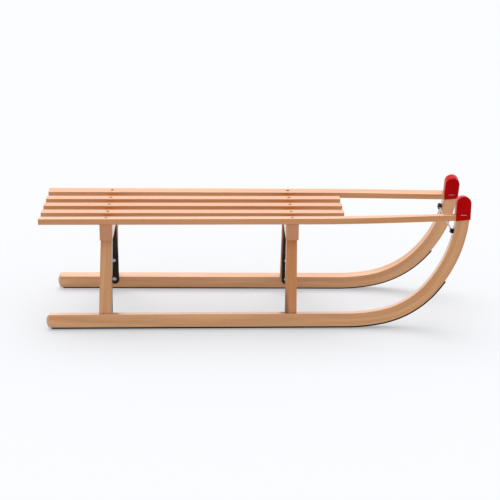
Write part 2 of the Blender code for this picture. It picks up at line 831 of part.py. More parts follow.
def shoe_screw_places(side):
    """Placement of a shoe's screws: along the straight sole and near the front end."""
    depth = -FIT_GAP - SHOE_THICKNESS
    places = []
    for x in SHOE_SCREW_PLACES:
        places.append(side_frame_at((x, RUNNER_WIDTH / 2, depth), (0, 0, -1), side))
    x, z, angle = runner_line(depth, 0, SHOE_END_ANGLE - 4)[-1]
    outward = (sin(angle), 0, -cos(angle))
    places.append(side_frame_at((x, RUNNER_WIDTH / 2, z), outward, side))
    return places


# ---- assembly

def build_side(name, side, frame):
    """Runner, shoe, rail, cap and tow bar block of one side; returns the runner."""
    runner = make_object(
        "runner_" + name,
        [side_shell(slab(runner_outline(), 0, RUNNER_WIDTH), side)],
        "varnished_beech",
        frame,
    )
    round_edges(runner, EDGE_CHAMFER)
    shade_round(runner)
    middle = RUNNER_WIDTH / 2
    shoe = make_object(
        "runner_shoe_" + name,
        [side_shell(slab(shoe_outline(), middle - SHOE_WIDTH / 2, middle + SHOE_WIDTH / 2), side)],
        "shoe_steel",
        frame,
    )
    shoe_places = shoe_screw_places(side)
    screws = [screw(place, SHOE_SCREW_LENGTH) for place in shoe_places]
    make_fasteners("shoe_screw_" + name, range(1, len(screws) + 1), screws, "bright_steel", frame)
    holes = [screw_hole(place, SHOE_SCREW_LENGTH) for place in shoe_places]
    shoe_holes = make_cutter("shoe_screw_holes_" + name, holes, frame)
    cut(shoe, shoe_holes)
    cut(runner, shoe_holes)
    make_object("seat_rail_" + name, [rail_shell(side, frame)], "varnished_beech")
    cut(runner, make_cutter("rail_mortise_" + name, [rail_mortise(side, frame)]))
    build_cap(name, side, frame, runner)
    build_tow_block(name, side, frame, runner)
    return runner


def build_cap(name, side, frame, runner):
    """A horn cap and its two staples."""
    outer = slab(cap_outline(), -CAP_WALL, RUNNER_WIDTH + CAP_WALL)
    cap = make_object("horn_cap_" + name, [side_shell(outer, side)], "red_plastic", frame)
    round_edges(cap, CAP_ROUNDING, 2)
    shade_round(cap)
    horn, _, _ = horn_outline(FIT_GAP)
    cavity = slab(horn, -FIT_GAP, RUNNER_WIDTH + FIT_GAP)
    cut(cap, make_cutter("cap_cavity_" + name, [side_shell(cavity, side)], frame))
    cut(cap, make_cutter("cap_notch_" + name, [cap_notch(side, frame)]))
    staples = [staple_shell(side, face) for face in (True, False)]
    make_fasteners("cap_staple_" + name, ("outer", "inner"), staples, "bright_steel", frame)
    holes = staple_holes(side, True) + staple_holes(side, False)
    holes_cutter = make_cutter("staple_holes_" + name, holes, frame)
    cut(cap, holes_cutter)
    cut(runner, holes_cutter)


def build_tow_block(name, side, frame, runner):
    """The block that holds the tow bar on one horn, with its screw."""
    block = make_object("tow_bar_block_" + name, [tow_block_shell(side)], "black_plastic", frame)
    place = tow_screw_place(side)
    make_fasteners("tow_bar_screw", (name,), [screw(place, TOW_SCREW_LENGTH)], "bright_steel", frame)
    hole = make_cutter("tow_screw_hole_" + name, [screw_hole(place, TOW_SCREW_LENGTH)], frame)
    cut(block, hole)
    cut(runner, hole)


def build_tow_bar(frames):
    """The tow bar and its bores in the two blocks."""
    bar = make_object("tow_bar", [tow_bar_shell(frames, TOW_BAR_RADIUS, 0.0)], "bright_steel")
    shade_round(bar)
    bore = make_cutter(
        "tow_bar_bore", [tow_bar_shell(frames, TOW_BAR_RADIUS + FIT_GAP, 2 * FIT_GAP)]
    )
    for name in SIDES:
        cut(bpy.data.objects["tow_bar_block_" + name], bore)


def build_bridge(name, bridge, frames, runners):
    """Crossbar, legs, brace and the fasteners of one bridge."""
    crossbar = make_object(
        "crossbar_" + name, [crossbar_shell(bridge, frames["left"])], "varnished_beech"
    )
    round_edges(crossbar, EDGE_CHAMFER)
    brace = make_object("brace_" + name, [brace_shell(bridge, frames["left"])], "black_steel")
    for side_name, side in SIDES.items():
        label = name + "_" + side_name
        frame = frames[side_name]
        levels = leg_levels(frame, side)
        leg = make_object(
            "leg_" + label, [side_shell(leg_shell(bridge, levels), side)], "varnished_beech", frame
        )
        foot_cut, head_cut = leg_mortises(bridge, levels)
        foot = make_cutter("foot_mortise_" + label, [side_shell(foot_cut, side)], frame)
        head = make_cutter("head_mortise_" + label, [side_shell(head_cut, side)], frame)
        cut(runners[side_name], foot)
        cut(crossbar, head)
        places = rivet_places(bridge, side)
        rivets = [rivet_shell(place) for place in places]
        make_fasteners("brace_rivet_" + label, ("lower", "upper"), rivets, "bright_steel", frame)
        holes = make_cutter("rivet_holes_" + label, [rivet_hole(place) for place in places], frame)
        cut(brace, holes)
        cut(runners[side_name], holes)
        cut(leg, holes)
    places = brace_screw_places(bridge)
    screws = [screw(place, BRACE_SCREW_LENGTH) for place in places]
    make_fasteners("brace_screw_" + name, ("right", "left"), screws, "bright_steel")
    holes = [screw_hole(place, BRACE_SCREW_LENGTH) for place in places]
    screw_holes = make_cutter("brace_screw_holes_" + name, holes)
    cut(brace, screw_holes)
    cut(crossbar, screw_holes)


def build_slats():
    """The three short slats."""
    for name, row in (("left", 1), ("centre", 0), ("right", -1)):
        make_object("seat_slat_" + name, [slat_shell(row * SLAT_PITCH)], "varnished_beech")


def build_seat_screws(name, bridge, frames):
    """Screws through the slats and rails into one crossbar, and their holes."""
    places = seat_screw_places(bridge, frames["left"])
    screws = [screw(place, SEAT_SCREW_LENGTH) for place in places.values()]
    labels = [wood.removeprefix("seat_") for wood in places]
    make_fasteners("seat_screw_" + name, labels, screws, "bright_steel")
    crossbar = bpy.data.objects["crossbar_" + name]
    for wood, place in places.items():
        label = "screw_hole_" + name + "_" + wood
        hole = make_cutter(label, [screw_hole(place, SEAT_SCREW_LENGTH)])
        cut(bpy.data.objects[wood], hole)
        cut(crossbar, hole)


def build():
    """Build the whole toboggan."""
    clear_scene()
    frames = {name: make_side_frame(name, side) for name, side in SIDES.items()}
    bpy.context.view_layer.update()
    runners = {name: build_side(name, side, frames[name]) for name, side in SIDES.items()}
    for name, bridge in BRIDGES.items():
        build_bridge(name, bridge, frames, runners)
    build_slats()
    for name, bridge in BRIDGES.items():
        build_seat_screws(name, bridge, frames)
    build_tow_bar(frames)


build()
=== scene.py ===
"""Looks of the wooden toboggan: varnished beech, lacquered and plated steel, red caps."""

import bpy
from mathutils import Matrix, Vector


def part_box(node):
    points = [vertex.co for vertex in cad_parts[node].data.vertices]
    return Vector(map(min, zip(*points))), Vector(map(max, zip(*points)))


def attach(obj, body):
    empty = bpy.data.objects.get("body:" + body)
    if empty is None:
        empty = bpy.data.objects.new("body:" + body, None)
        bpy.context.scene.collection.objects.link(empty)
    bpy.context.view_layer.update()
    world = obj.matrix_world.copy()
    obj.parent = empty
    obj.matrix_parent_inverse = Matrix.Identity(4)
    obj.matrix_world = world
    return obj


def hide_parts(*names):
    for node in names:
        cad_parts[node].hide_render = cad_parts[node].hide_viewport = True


bl_info = {
    "name": "Wooden toboggan",
    "version": (1, 0, 0),
    "blender": (4, 5, 0),
    "location": "View3D > Sidebar > Toboggan",
    "description": "Builds the finished pieces of a wooden toboggan around its fixed frame",
    "category": "Add Mesh",
}

from collections import namedtuple
from math import atan2, cos, pi, radians, sin, sqrt, tan

import bmesh
import bpy
from bpy.props import FloatProperty, FloatVectorProperty, PointerProperty
from mathutils import Matrix, Vector

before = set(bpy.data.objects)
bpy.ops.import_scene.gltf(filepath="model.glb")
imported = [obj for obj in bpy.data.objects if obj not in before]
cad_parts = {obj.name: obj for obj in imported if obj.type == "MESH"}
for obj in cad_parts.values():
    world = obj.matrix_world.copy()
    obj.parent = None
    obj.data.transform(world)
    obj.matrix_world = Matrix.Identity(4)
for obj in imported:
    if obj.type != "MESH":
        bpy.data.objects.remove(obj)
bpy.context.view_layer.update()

SLAT_LOW, SLAT_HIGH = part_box("seat_slat_centre")
SLAT_SIZE = SLAT_HIGH - SLAT_LOW

SIDES = {"left": 1, "right": -1}
BRIDGES = ("rear", "front")
FORWARD, ACROSS, UP = Matrix.Identity(3)
FIT_GAP = 0.0003
ROUND_SIDES = 24
CREASE, CAP_CREASE = radians(35), radians(45)

# Rounded edges: points in an arc, the flat beside it, the least radius, and a sawn end's rim.
ARC_STEPS = 4
ARC_SUPPORT = 0.0005
LEAST_RADIUS = 0.00005
SAWN_RIM = 0.0004

# Runner line: radius and angle of the arcs between the straight sole and the horn.
BENDS = ((0.423, 11.4), (0.226, 37.1), (0.3065, 39.5))
BEND_STEP = radians(1.5)
HORN_ANGLE = radians(sum(angle for _, angle in BENDS))

# Legs: (top, foot) widths, how far the foot stands back, how red the wood is, sections by height.
LEG_WIDTHS = {"rear": (0.0265, 0.0295), "front": (0.0250, 0.0275)}
LEG_FOOT_BACK = {"rear": 0.0050, "front": 0.0012}
LEG_TONES = {"rear": 0.15, "front": 0.95}
LEG_SHARES = (0.0, 0.15, 0.5, 0.85, 1.0)
# The one leg that gets a dark brown streak low on its rear edge, darkest at its foot by the runner.
STREAKED_LEG = ("front", "right")

# Tones of the other wood, and where each piece lies in the uncut wood, some by side.
RUNNER_TONE, CROSSBAR_TONE = 0.12, 0.55
RAIL_TONES = {1: 0.45, -1: 0.6}
RUNNER_GRAIN, RAIL_GRAIN = {1: 0.31, -1: 1.72}, {1: 0.9, -1: 2.6}
LEG_GRAIN, LEG_GRAIN_STEP, CROSSBAR_GRAIN = 2.3, 0.37, 4.1

# Rivets: heights up the side, shank, depth in the wood, and the box that trims a ball to a dome.
RIVET_HEIGHTS = (0.0265, 0.080)
RIVET_SHANK = 0.0024
RIVET_GRIP = 0.014
RIVET_TRIM = 0.02

# Screws: lengths, a recess as shares of the head, seat screws' turns in degrees, their holes.
SEAT_SCREW, SHOE_SCREW, BRACE_SCREW, TOW_SCREW = 0.031, 0.016, 0.018, 0.016
RECESS_LENGTH, RECESS_WIDTH, RECESS_DEPTH = 1.15, 0.24, 0.9
SCREW_TURN, SCREW_TURN_BY_WOOD, SCREW_TURN_BY_BRIDGE = 17, 31, 53
HOLE_MOUTH, HOLE_DEPTH = 0.003, 0.034
SHOE_SCREW_SETBACK = radians(4)

# Rounded edges of cut ends, shoes, braces and blocks.
CUT_EDGE, SHOE_EDGE, BRACE_EDGE, BLOCK_EDGE, BLOCK_END = 0.0003, 0.00035, 0.0005, 0.0012, 0.0009

# Braces: gap to the wood, where the sections of the round tip lie, and the bends' radii.
BRACE_GAP = 1.5 * FIT_GAP
BRACE_TIP_SHARES = (0.0, 0.03, 0.1, 0.22, 0.4, 0.65, 1.0)
BRACE_LEG_BEND, BRACE_TOP_BEND = 0.035, 0.012

# Caps: how far the rail's opening reaches behind and ahead of the rail's end, and the staples.
NOTCH_BEHIND, NOTCH_AHEAD, NOTCH_GAP = 0.012, 0.003, 1.2 * FIT_GAP
STAPLE_LEG = 0.0085

# Tow bar blocks: (depth, width, height), inset from the horn's outer face, screw in the block.
TOW_BLOCK = (0.0068, 0.0165, 0.0100)
TOW_BLOCK_INSET = 0.0028
TOW_SCREW_ACROSS = 0.0052

# Studio: half the floor's side, the dimmest share of the dome, the overhead light's place and way.
STUDIO_WHITE = "FBFCFF"
FLOOR_HALF, FLOOR_Z = 60.0, -0.0003
DIM_SHARE = 0.28
KEY_PLACE, KEY_WAY = (0, 0, 3), (-0.1, 0.42, 1.0)

# One cross-section of a bar: where it is, its axes, its size and how far along the bar it is.
Station = namedtuple("Station", "place across up ahead width height distance")


def linear(hex_colour):
    """Linear colour, with its alpha, of an sRGB hex value."""
    channels = [int(hex_colour[i:i + 2], 16) / 255 for i in (0, 2, 4)]
    return (*(c / 12.92 if c <= 0.04045 else ((c + 0.055) / 1.055) ** 2.4 for c in channels), 1.0)


def number_property(label, description, default, **settings):
    """A number that a user can change."""
    return FloatProperty(name=label, description=description, default=default, **settings)


def size_property(label, description, default):
    """A length that a user can change, in metres."""
    return number_property(label, description, default, unit="LENGTH", precision=5)


def angle_property(label, description, degrees):
    """An angle that a user can change."""
    return number_property(label, description, radians(degrees), unit="ROTATION")


def colour_property(label, description, hex_colour):
    """A colour that a user can change, from its sRGB hex value."""
    return FloatVectorProperty(
        name=label, description=description, subtype="COLOR", size=4,
        min=0.0, max=1.0, default=linear(hex_colour),
    )


class TobogganWoodwork(bpy.types.PropertyGroup):
    """Sizes of the wooden pieces."""

    runner_width: size_property("Runner width", "Width of a bent runner", 0.0235)
    runner_thickness: size_property("Runner thickness", "Thickness of a bent runner", 0.031)
    runner_rear: size_property("Runner setback", "Runner's rear end behind the seat's", 0.0118)
    rear_bulge: size_property("Rear rounding", "Bulge of a runner's rear end", 0.008)
    spread: size_property("Half spread", "Outer lower edge of a runner from the middle", 0.1523)
    lean: angle_property("Lean", "Inward lean of the runners and legs", 9.25)
    toe_in: number_property("Toe-in", "Slope at which the runners close", 0.009)
    bend_start: size_property("Bend start", "Where the runners start to bend up", 0.7195)
    horn_tip: size_property("Horn height", "Height of a horn's wood up its face", 0.3067)
    edge_radius: size_property("Edge radius", "Rounding of the long edges", 0.00136)
    end_radius: size_property("End radius", "Rounding of the sawn ends", 0.0008)
    rail_outer_y: size_property("Rail reach", "Outer top edge of a rail at its rear end", 0.1267)
    rail_outer_z: size_property("Rail height", "Height of a rail's outer top edge", 0.26595)
    rail_tilt: angle_property("Rail tilt", "Inward tilt of the rails over the bridges", 5.15)
    rail_taper: number_property("Rail taper", "Slope at which the rails close", 0.007)
    rail_bend: size_property("Rail bend start", "Where a rail starts to draw in", 0.63)
    rail_end_width: size_property("Rail end width", "Width of a rail at the horn", 0.0245)
    rail_end_up: size_property("Rail end height", "A rail's top up the horn's face", 0.265)
    leg_inset: size_property("Leg inset", "Leg's outer face in from the runner's", 0.0045)


class TobogganHardware(bpy.types.PropertyGroup):
    """Sizes of the steel and plastic pieces."""

    shoe_width: size_property("Shoe width", "Width of the steel strip", 0.021)
    shoe_thickness: size_property("Shoe thickness", "Thickness of the steel strip", 0.003)
    shoe_rear: size_property("Shoe rear end", "Strip's rear end behind the seat's", 0.0249)
    shoe_end: angle_property("Shoe end", "Angle of the bend that the strip reaches", 55.0)
    brace_width: size_property("Brace width", "Width of the flat steel brace", 0.022)
    brace_thickness: size_property("Brace thickness", "Thickness of the brace", 0.0028)
    brace_low: size_property("Brace low end", "Low end of a brace up the runner's face", 0.012)
    brace_leaves: size_property("Brace bend", "Where a brace leaves the leg", 0.097)
    brace_top: size_property("Brace top", "Half length of the brace under a crossbar", 0.046)
    cap_wall: size_property("Cap wall", "Wall thickness of a horn cap", 0.00175)
    cap_bottom_rear: size_property("Cap rear edge", "Height of a cap's rear lower edge", 0.2502)
    cap_bottom_front: size_property("Cap front edge", "Height of a cap's front lower edge", 0.2534)
    cap_rounding: size_property("Cap rounding", "Rounding of a cap's edges", 0.0022)
    staple_up: size_property("Staple height", "Height of the staples up the horn", 0.2645)
    staple_wire: size_property("Staple wire", "Diameter of the staple wire", 0.0011)
    staple_crown: size_property("Staple crown", "Width of a staple", 0.0128)
    head_radius: size_property("Screw head radius", "Radius of a countersunk head", 0.0039)
    shank_radius: size_property("Screw shank radius", "Radius of a screw's shank", 0.0019)
    head_depth: size_property("Screw head depth", "Depth of a countersunk head", 0.0026)
    head_sink: size_property("Screw head sink", "How far a head lies under the wood", 0.0004)
    rivet_radius: size_property("Rivet head radius", "Radius of a round rivet head", 0.0052)
    rivet_height: size_property("Rivet head height", "Height of a round rivet head", 0.0026)
    bar_radius: size_property("Tow bar radius", "Radius of the tow bar", 0.0022)
    bar_up: size_property("Tow bar height", "Height of the tow bar up the horn", 0.2255)


class TobogganFinish(bpy.types.PropertyGroup):
    """Colours of the finishes."""

    beech_light: colour_property("Light beech", "Pale bands of the wood", "D9A16B")
    beech_dark: colour_property("Dark beech", "Darker bands of the wood", "BA7F47")
    beech_warm: colour_property("Warm beech", "Redder pieces of wood", "BE732A")
    beech_end: colour_property("End grain", "Sawn ends of the wood", "B57343")
    # A dark brown streak low on one leg's rear edge, darkest at its foot by the runner.
    dark_streak: colour_property("Streak", "Brown heartwood in one leg", "6E3A10")
    lacquer: colour_property("Black lacquer", "Braces", "140D09")
    zinc: colour_property("Zinc plating", "Rivets, staples and tow bar", "B2B2BC")
    dull_zinc: colour_property("Dull zinc", "Wood screws", "5C5650")
    # Near-black: the steel's own dull colour with the contact shadow under the runners painted in.
    drawn_steel: colour_property("Drawn steel", "Shoes", "1E1918")
    red: colour_property("Red", "Horn caps", "AE0002")
    black: colour_property("Black", "Tow bar blocks", "121214")
    floor: colour_property("Floor", "Studio floor", "A2A3A4")


class TobogganStudio(bpy.types.PropertyGroup):
    """Camera and lights."""

    camera_x: size_property("Camera X", "Camera's place along the sled", -0.1008)
    camera_y: size_property("Camera Y", "Camera's place beside the sled", -3.2873)
    camera_z: size_property("Camera Z", "Camera's height", 1.28265)
    yaw: angle_property("Yaw", "Camera's turn to the right", 1.577)
    pitch: angle_property("Pitch", "Camera's tilt down", 19.05)
    roll: angle_property("Roll", "Camera's roll", 0.513)
    lens: number_property("Lens", "Focal length on a 36 mm sensor", 103.49, unit="CAMERA")
    dome: number_property("Dome light", "Brightness of the white dome", 1.2)
    table: number_property("Table light", "Glow of the floor itself", 0.37)
    key: number_property("Key light", "Strength of the soft overhead light", 2.1)
    key_spread: angle_property("Key softness", "Apparent width of the overhead light", 50.0)


def woodwork():
    """Current sizes of the wooden pieces."""
    return bpy.context.scene.toboggan_woodwork


def hardware():
    """Current sizes of the steel and plastic pieces."""
    return bpy.context.scene.toboggan_hardware


def finishes():
    """Current colours."""
    return bpy.context.scene.toboggan_finish


# ---- where things are

def seat_rear():
    """World x of the seat's rear end, from which the side frames measure."""
    return SLAT_LOW.x


def edge_height():
    """Height of the runner's outer lower edge over the floor."""
    wood, metal = woodwork(), hardware()
    reach = wood.runner_width / 2 + metal.shoe_width / 2
    return reach * sin(wood.lean) + (metal.shoe_thickness + FIT_GAP) * cos(wood.lean)


def side_matrix(side):
    """From (forward, inwards, up the face) of one side to the world."""
    wood = woodwork()
    place = Matrix.Translation((seat_rear(), side * wood.spread, edge_height()))
    turn = Matrix.Rotation(-side * atan2(wood.toe_in, 1), 4, "Z")
    lean = Matrix.Rotation(side * wood.lean, 4, "X")
    return place @ turn @ lean @ Matrix.Diagonal((1, -side, 1, 1))


def bend_stations(offset, last_angle=HORN_ANGLE):
    """(x, z, angle, distance) along the bend at an offset above the sole."""
    points = []
    x, z, turned, distance = woodwork().bend_start, 0.0, 0.0, 0.0
    for radius, degrees in BENDS:
        sweep = min(radians(degrees), last_angle - turned)
        if sweep <= 0:
            break
        centre_x, centre_z = x - radius * sin(turned), z + radius * cos(turned)
        reach = radius - offset
        steps = max(2, round(sweep / BEND_STEP))
        for i in range(1 if points else 0, steps + 1):
            here = turned + sweep * i / steps
            x, z = centre_x + reach * sin(here), centre_z - reach * cos(here)
            points.append((x, z, here, distance + reach * sweep * i / steps))
        turned += sweep
        distance += reach * sweep
        x, z = centre_x + radius * sin(turned), centre_z - radius * cos(turned)
    return points


def rear_face(up):
    """Place x and angle of the horn's rear face at a height up the side."""
    line = bend_stations(woodwork().runner_thickness)
    for (x0, z0, a0, _), (x1, z1, a1, _) in zip(line, line[1:]):
        if z0 <= up <= z1:
            share = (up - z0) / (z1 - z0)
            return x0 + (x1 - x0) * share, a0 + (a1 - a0) * share
    x, z, angle, _ = line[-1]
    return x + (up - z) / tan(angle), angle


def horn_top():
    """Centre (x, z) of the horn tip's half circle."""
    wood = woodwork()
    half = wood.runner_thickness / 2
    x, z, angle, _ = bend_stations(half)[-1]
    rise = wood.horn_tip - half - z
    return Vector((x + rise / tan(angle), z + rise))


def tip_arc(size, steps):
    """Points (x, z) of a half circle over the horn's tip, from front to rear."""
    centre = horn_top()
    turns = [HORN_ANGLE - pi / 2 + pi * i / steps for i in range(steps + 1)]
    return [centre + size * Vector((cos(turn), sin(turn))) for turn in turns]


def rail_section(x, side):
    """Corners (y, z) of a rail at x forward of the seat's rear end, and its tilt."""
    wood = woodwork()
    end_x, _ = rear_face(wood.rail_end_up)
    end = side_matrix(side) @ Vector((end_x, 0, wood.rail_end_up))
    run = max(0.0, (x - wood.rail_bend) / (end_x - wood.rail_bend))
    bend = run * run * (3 - run) / 2
    y = wood.rail_outer_y - wood.rail_taper * x
    y += (abs(end.y) - (wood.rail_outer_y - wood.rail_taper * end_x)) * bend
    z = wood.rail_outer_z + (end.z - wood.rail_outer_z) * bend
    tilt = wood.rail_tilt + (wood.lean - wood.rail_tilt) * bend
    width = SLAT_SIZE.y + (wood.rail_end_width - SLAT_SIZE.y) * bend
    inwards = Vector((-cos(tilt), -sin(tilt))) * width
    down = Vector((sin(tilt), -cos(tilt))) * SLAT_SIZE.z
    outer = Vector((y, z))
    corners = (outer, outer + inwards, outer + inwards + down, outer + down)
    return [Vector((side * corner.x, corner.y)) for corner in corners], tilt


def rail_end():
    """How far forward of the seat's rear end a rail's underside meets the horn."""
    return rear_face(woodwork().rail_end_up - SLAT_SIZE.z)[0]


def middle_of(node):
    """Middle of a CAD node's box."""
    low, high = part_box(node)
    return (low + high) / 2


def bridge_x(name):
    """Middle of a bridge, forward of the seat's rear end."""
    return middle_of("crossbar_" + name).x - seat_rear()


def sole_line(rear, offset, last_angle, steps):
    """(x, z, angle, distance) at an offset from a rear end along the sole and up the bend."""
    start = woodwork().bend_start
    places = [rear + (start - rear) * i / steps for i in range(steps)]
    bend = bend_stations(offset, last_angle)
    return [(x, offset, 0.0, x) for x in places] + [(*spot, start + run) for *spot, run in bend]


def side_stations(line, width, height):
    """Stations in one side's frame of a bar in the runner's plane, along a line."""
    middle = woodwork().runner_width / 2
    return [
        Station(
            Vector((x, middle, z)), ACROSS, Vector((-sin(angle), 0, cos(angle))),
            Vector((cos(angle), 0, sin(angle))), width, height, distance,
        )
        for x, z, angle, distance in line
    ]


# ---- meshes

def add_object(name, data):
    """New object in the scene, at the origin."""
    obj = bpy.data.objects.new(name, data)
    bpy.context.collection.objects.link(obj)
    return obj


def finish_mesh(name, verts, faces, material, smooth_angle=None):
    """Object at the origin from closed shells, with its faces turned outwards."""
    mesh = bpy.data.meshes.new(name)
    mesh.from_pydata([tuple(v) for v in verts], [], faces)
    bm = bmesh.new()
    bm.from_mesh(mesh)
    bmesh.ops.recalc_face_normals(bm, faces=bm.faces)
    bm.to_mesh(mesh)
    bm.free()
    mesh.materials.append(material)
    mesh.shade_smooth()
    if smooth_angle:
        mesh.set_sharp_from_angle(angle=smooth_angle)
    return add_object(name, mesh)


def ring_faces(rings):
    """Quads between rings of vertex numbers, closed at both ends."""
    faces = [rings[0][::-1], rings[-1]]
    for low, high in zip(rings, rings[1:]):
        around = zip(low, low[1:] + low[:1], high[1:] + high[:1], high)
        faces.extend(around)
    return faces


def lofted(name, outlines, material):
    """Closed mesh through outlines that have the same number of points."""
    count = len(outlines[0])
    verts = [point for outline in outlines for point in outline]
    rings = [list(range(first, first + count)) for first in range(0, len(verts), count)]
    return finish_mesh(name, verts, ring_faces(rings), material)


def section_points(width, height, radius, inset):
    """Rounded rectangle with a support point on each flat beside each corner."""
    half_width, half_height = width / 2 - inset, height / 2 - inset
    radius = max(radius - inset, LEAST_RADIUS)
    points = []
    corners = ((1, 1, 0), (-1, 1, 90), (-1, -1, 180), (1, -1, 270))
    for right, top, degrees in corners:
        start = radians(degrees)
        centre = Vector((right * (half_width - radius), top * (half_height - radius)))
        arc = []
        for i in range(ARC_STEPS + 1):
            angle = start + pi / 2 * i / ARC_STEPS
            arc.append(centre + radius * Vector((cos(angle), sin(angle))))
        before = ARC_SUPPORT * Vector((sin(start), -cos(start)))
        after = ARC_SUPPORT * Vector((-cos(start), -sin(start)))
        points += [arc[0] + before, *arc, arc[-1] + after]
    return points


def end_steps(radius, depth):
    """(inset, setback, sawn) steps of a rounded end, from the full section to its middle."""
    steps = [(radius * (1 - cos(a)), radius * (1 - sin(a)), 0.0) for a in (0, pi / 6, pi / 3)]
    steps += [(radius, 0.0, 1.0), (radius + SAWN_RIM, 0.0, 1.0)]
    if depth:
        steps += [(depth * share, 0.0, 1.0) for share in (0.2, 0.4, 0.6, 0.8, 0.95)]
    return steps


def bar(name, stations, radius, end_radius, material, tone=0.5, shift=0.0, bulges=(0.0, 0.0)):
    """A bar through the stations, with rounded edges and ends and its grain coordinates."""
    outlines, grain, sawn = [], [], []

    def add_outline(station, inset=0.0, setback=0.0, is_sawn=0.0, bulge=0.0, outwards=1):
        outlines.append([])
        for a, b in section_points(station.width, station.height, radius, inset):
            out = outwards * (bulge * (1 - (2 * b / station.height) ** 2) - setback)
            place = station.place + station.across * a + station.up * b
            outlines[-1].append(place + station.ahead * out)
            grain.append((station.distance + out + shift, a + shift, b + 0.3 * shift))
            sawn.append(is_sawn)

    depths = [min(stations[i].width, stations[i].height) / 2 if bulges[i] else 0.0 for i in (0, -1)]
    for step in reversed(end_steps(end_radius, depths[0])):
        add_outline(stations[0], *step, bulges[0], -1)
    for station in stations[1:-1]:
        add_outline(station)
    for step in end_steps(end_radius, depths[1]):
        add_outline(stations[-1], *step, bulges[1])
    obj = lofted(name, outlines, material)
    write_grain(obj.data, grain, sawn, tone)
    return obj


def write_grain(mesh, grain, sawn, tone):
    """Store where each point lies in the uncut wood, whether it is sawn, and the tone."""
    layer = mesh.attributes.new("grain", "FLOAT_VECTOR", "POINT")
    layer.data.foreach_set("vector", [c for point in grain for c in point])
    for label, values in (("sawn", sawn), ("tone", [tone] * len(sawn))):
        layer = mesh.attributes.new(label, "FLOAT", "POINT")
        layer.data.foreach_set("value", values)


def on_side(side, stations):
    """Stations of one side's frame brought into the world."""
    matrix = side_matrix(side)
    turn = matrix.to_3x3()
    return [
        Station(matrix @ s.place, turn @ s.across, turn @ s.up, turn @ s.ahead, *s[4:])
        for s in stations
    ]


def turned(name, profile, places, material):
    """Turned solids, one on each place: (radius, height) pairs about the place's Z."""
    turns = [2 * pi * i / ROUND_SIDES for i in range(ROUND_SIDES)]
    verts, faces = [], []
    for place in places:
        rings = []
        for radius, height in profile:
            rings.append(list(range(len(verts), len(verts) + ROUND_SIDES)))
            verts += [place @ Vector((radius * cos(t), radius * sin(t), height)) for t in turns]
        faces += ring_faces(rings)
    return finish_mesh(name, verts, faces, material, CREASE)


def frame_at(position, outward):
    """Placement whose +Z points outwards from a surface."""
    turn = Vector(outward).normalized().to_track_quat("Z", "Y").to_matrix().to_4x4()
    return Matrix.Translation(position) @ turn


def apply_modifiers(obj):
    """Replace an object's mesh by its evaluated one and drop its modifiers."""
    bpy.context.view_layer.update()
    graph = bpy.context.evaluated_depsgraph_get()
    mesh = bpy.data.meshes.new_from_object(
        obj.evaluated_get(graph), preserve_all_data_layers=True, depsgraph=graph
    )
    obj.modifiers.clear()
    obj.data = mesh
    mesh.name = obj.name


def cut(obj, cutter, crease=CREASE):
    """Take the cutter out of the object, then delete the cutter."""
    modifier = obj.modifiers.new("cut", "BOOLEAN")
    modifier.operation = "DIFFERENCE"
    modifier.solver = "EXACT"
    modifier.object = cutter
    apply_modifiers(obj)
    bpy.data.objects.remove(cutter, do_unlink=True)
    obj.data.shade_smooth()
    obj.data.set_sharp_from_angle(angle=crease)


def hand_over(obj, slot, *nodes):
    """Ride on the sled and stand for the CAD nodes."""
    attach(obj, "root")
    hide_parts(*nodes)


# ---- materials

def add_node(tree, kind, inputs=(), output=0, **settings):
    """Add a node, set its properties, set or link its inputs, and give one of its outputs."""
    node = tree.nodes.new(kind)
    for key, value in settings.items():
        setattr(node, key, value)
    for key, value in dict(inputs).items():
        for item in value if isinstance(value, list) else [value]:
            if isinstance(item, bpy.types.NodeSocket):
                tree.links.new(item, node.inputs[key])
            else:
                node.inputs[key].default_value = item
    return node.outputs[output] if node.outputs else None


def new_material(name, colour, roughness, others=()):
    """Material with one Principled shader; returns its tree and shader too."""
    material = bpy.data.materials.new(name)
    material.use_nodes = True
    tree = material.node_tree
    shader = tree.nodes["Principled BSDF"]
    values = {"Base Color": colour, "Roughness": roughness, **dict(others)}
    for label, value in values.items():
        shader.inputs[label].default_value = value
    return material, tree, shader


def stretched_noise(tree, vector, scale, detail, roughness=0.55, distortion=0.0):
    """Noise whose size along each axis follows the scale, in waves per metre."""
    mapped = add_node(tree, "ShaderNodeMapping", {"Vector": vector, "Scale": scale})
    return add_node(tree, "ShaderNodeTexNoise", {
        "Vector": mapped, "Scale": 1.0, "Detail": detail, "Roughness": roughness,
        "Distortion": distortion,
    }, "Fac")


def shaded(tree, colour, pattern, low, high, first, last):
    """A colour multiplied by a pattern that is first brought to run from first to last."""
    shade = add_node(tree, "ShaderNodeMapRange", {0: pattern, 1: low, 2: high, 3: first, 4: last})
    return add_node(
        tree, "ShaderNodeMix", {0: 1.0, 6: colour, 7: shade}, 2,
        data_type="RGBA", blend_type="MULTIPLY",
    )


def blended(tree, colour, other, pattern, low, high, most=1.0):
    """A colour that gives way to another while a pattern rises from low to high."""
    share = add_node(tree, "ShaderNodeMapRange", {0: pattern, 1: low, 2: high, 4: most})
    return add_node(tree, "ShaderNodeMix", {0: share, 6: colour, 7: other}, 2, data_type="RGBA")


def give_skin(tree, shader, colour, gloss, smoothest, roughest, relief=None, depth=0, strength=0):
    """Colour, roughness that follows one pattern, and bumps that follow another."""
    rough = {0: gloss, 1: 0.3, 2: 0.7, 3: smoothest, 4: roughest}
    if colour:
        tree.links.new(colour, shader.inputs["Base Color"])
    tree.links.new(add_node(tree, "ShaderNodeMapRange", rough), shader.inputs["Roughness"])
    if relief:
        bump = {"Height": relief, "Distance": depth, "Strength": strength}
        tree.links.new(add_node(tree, "ShaderNodeBump", bump), shader.inputs["Normal"])


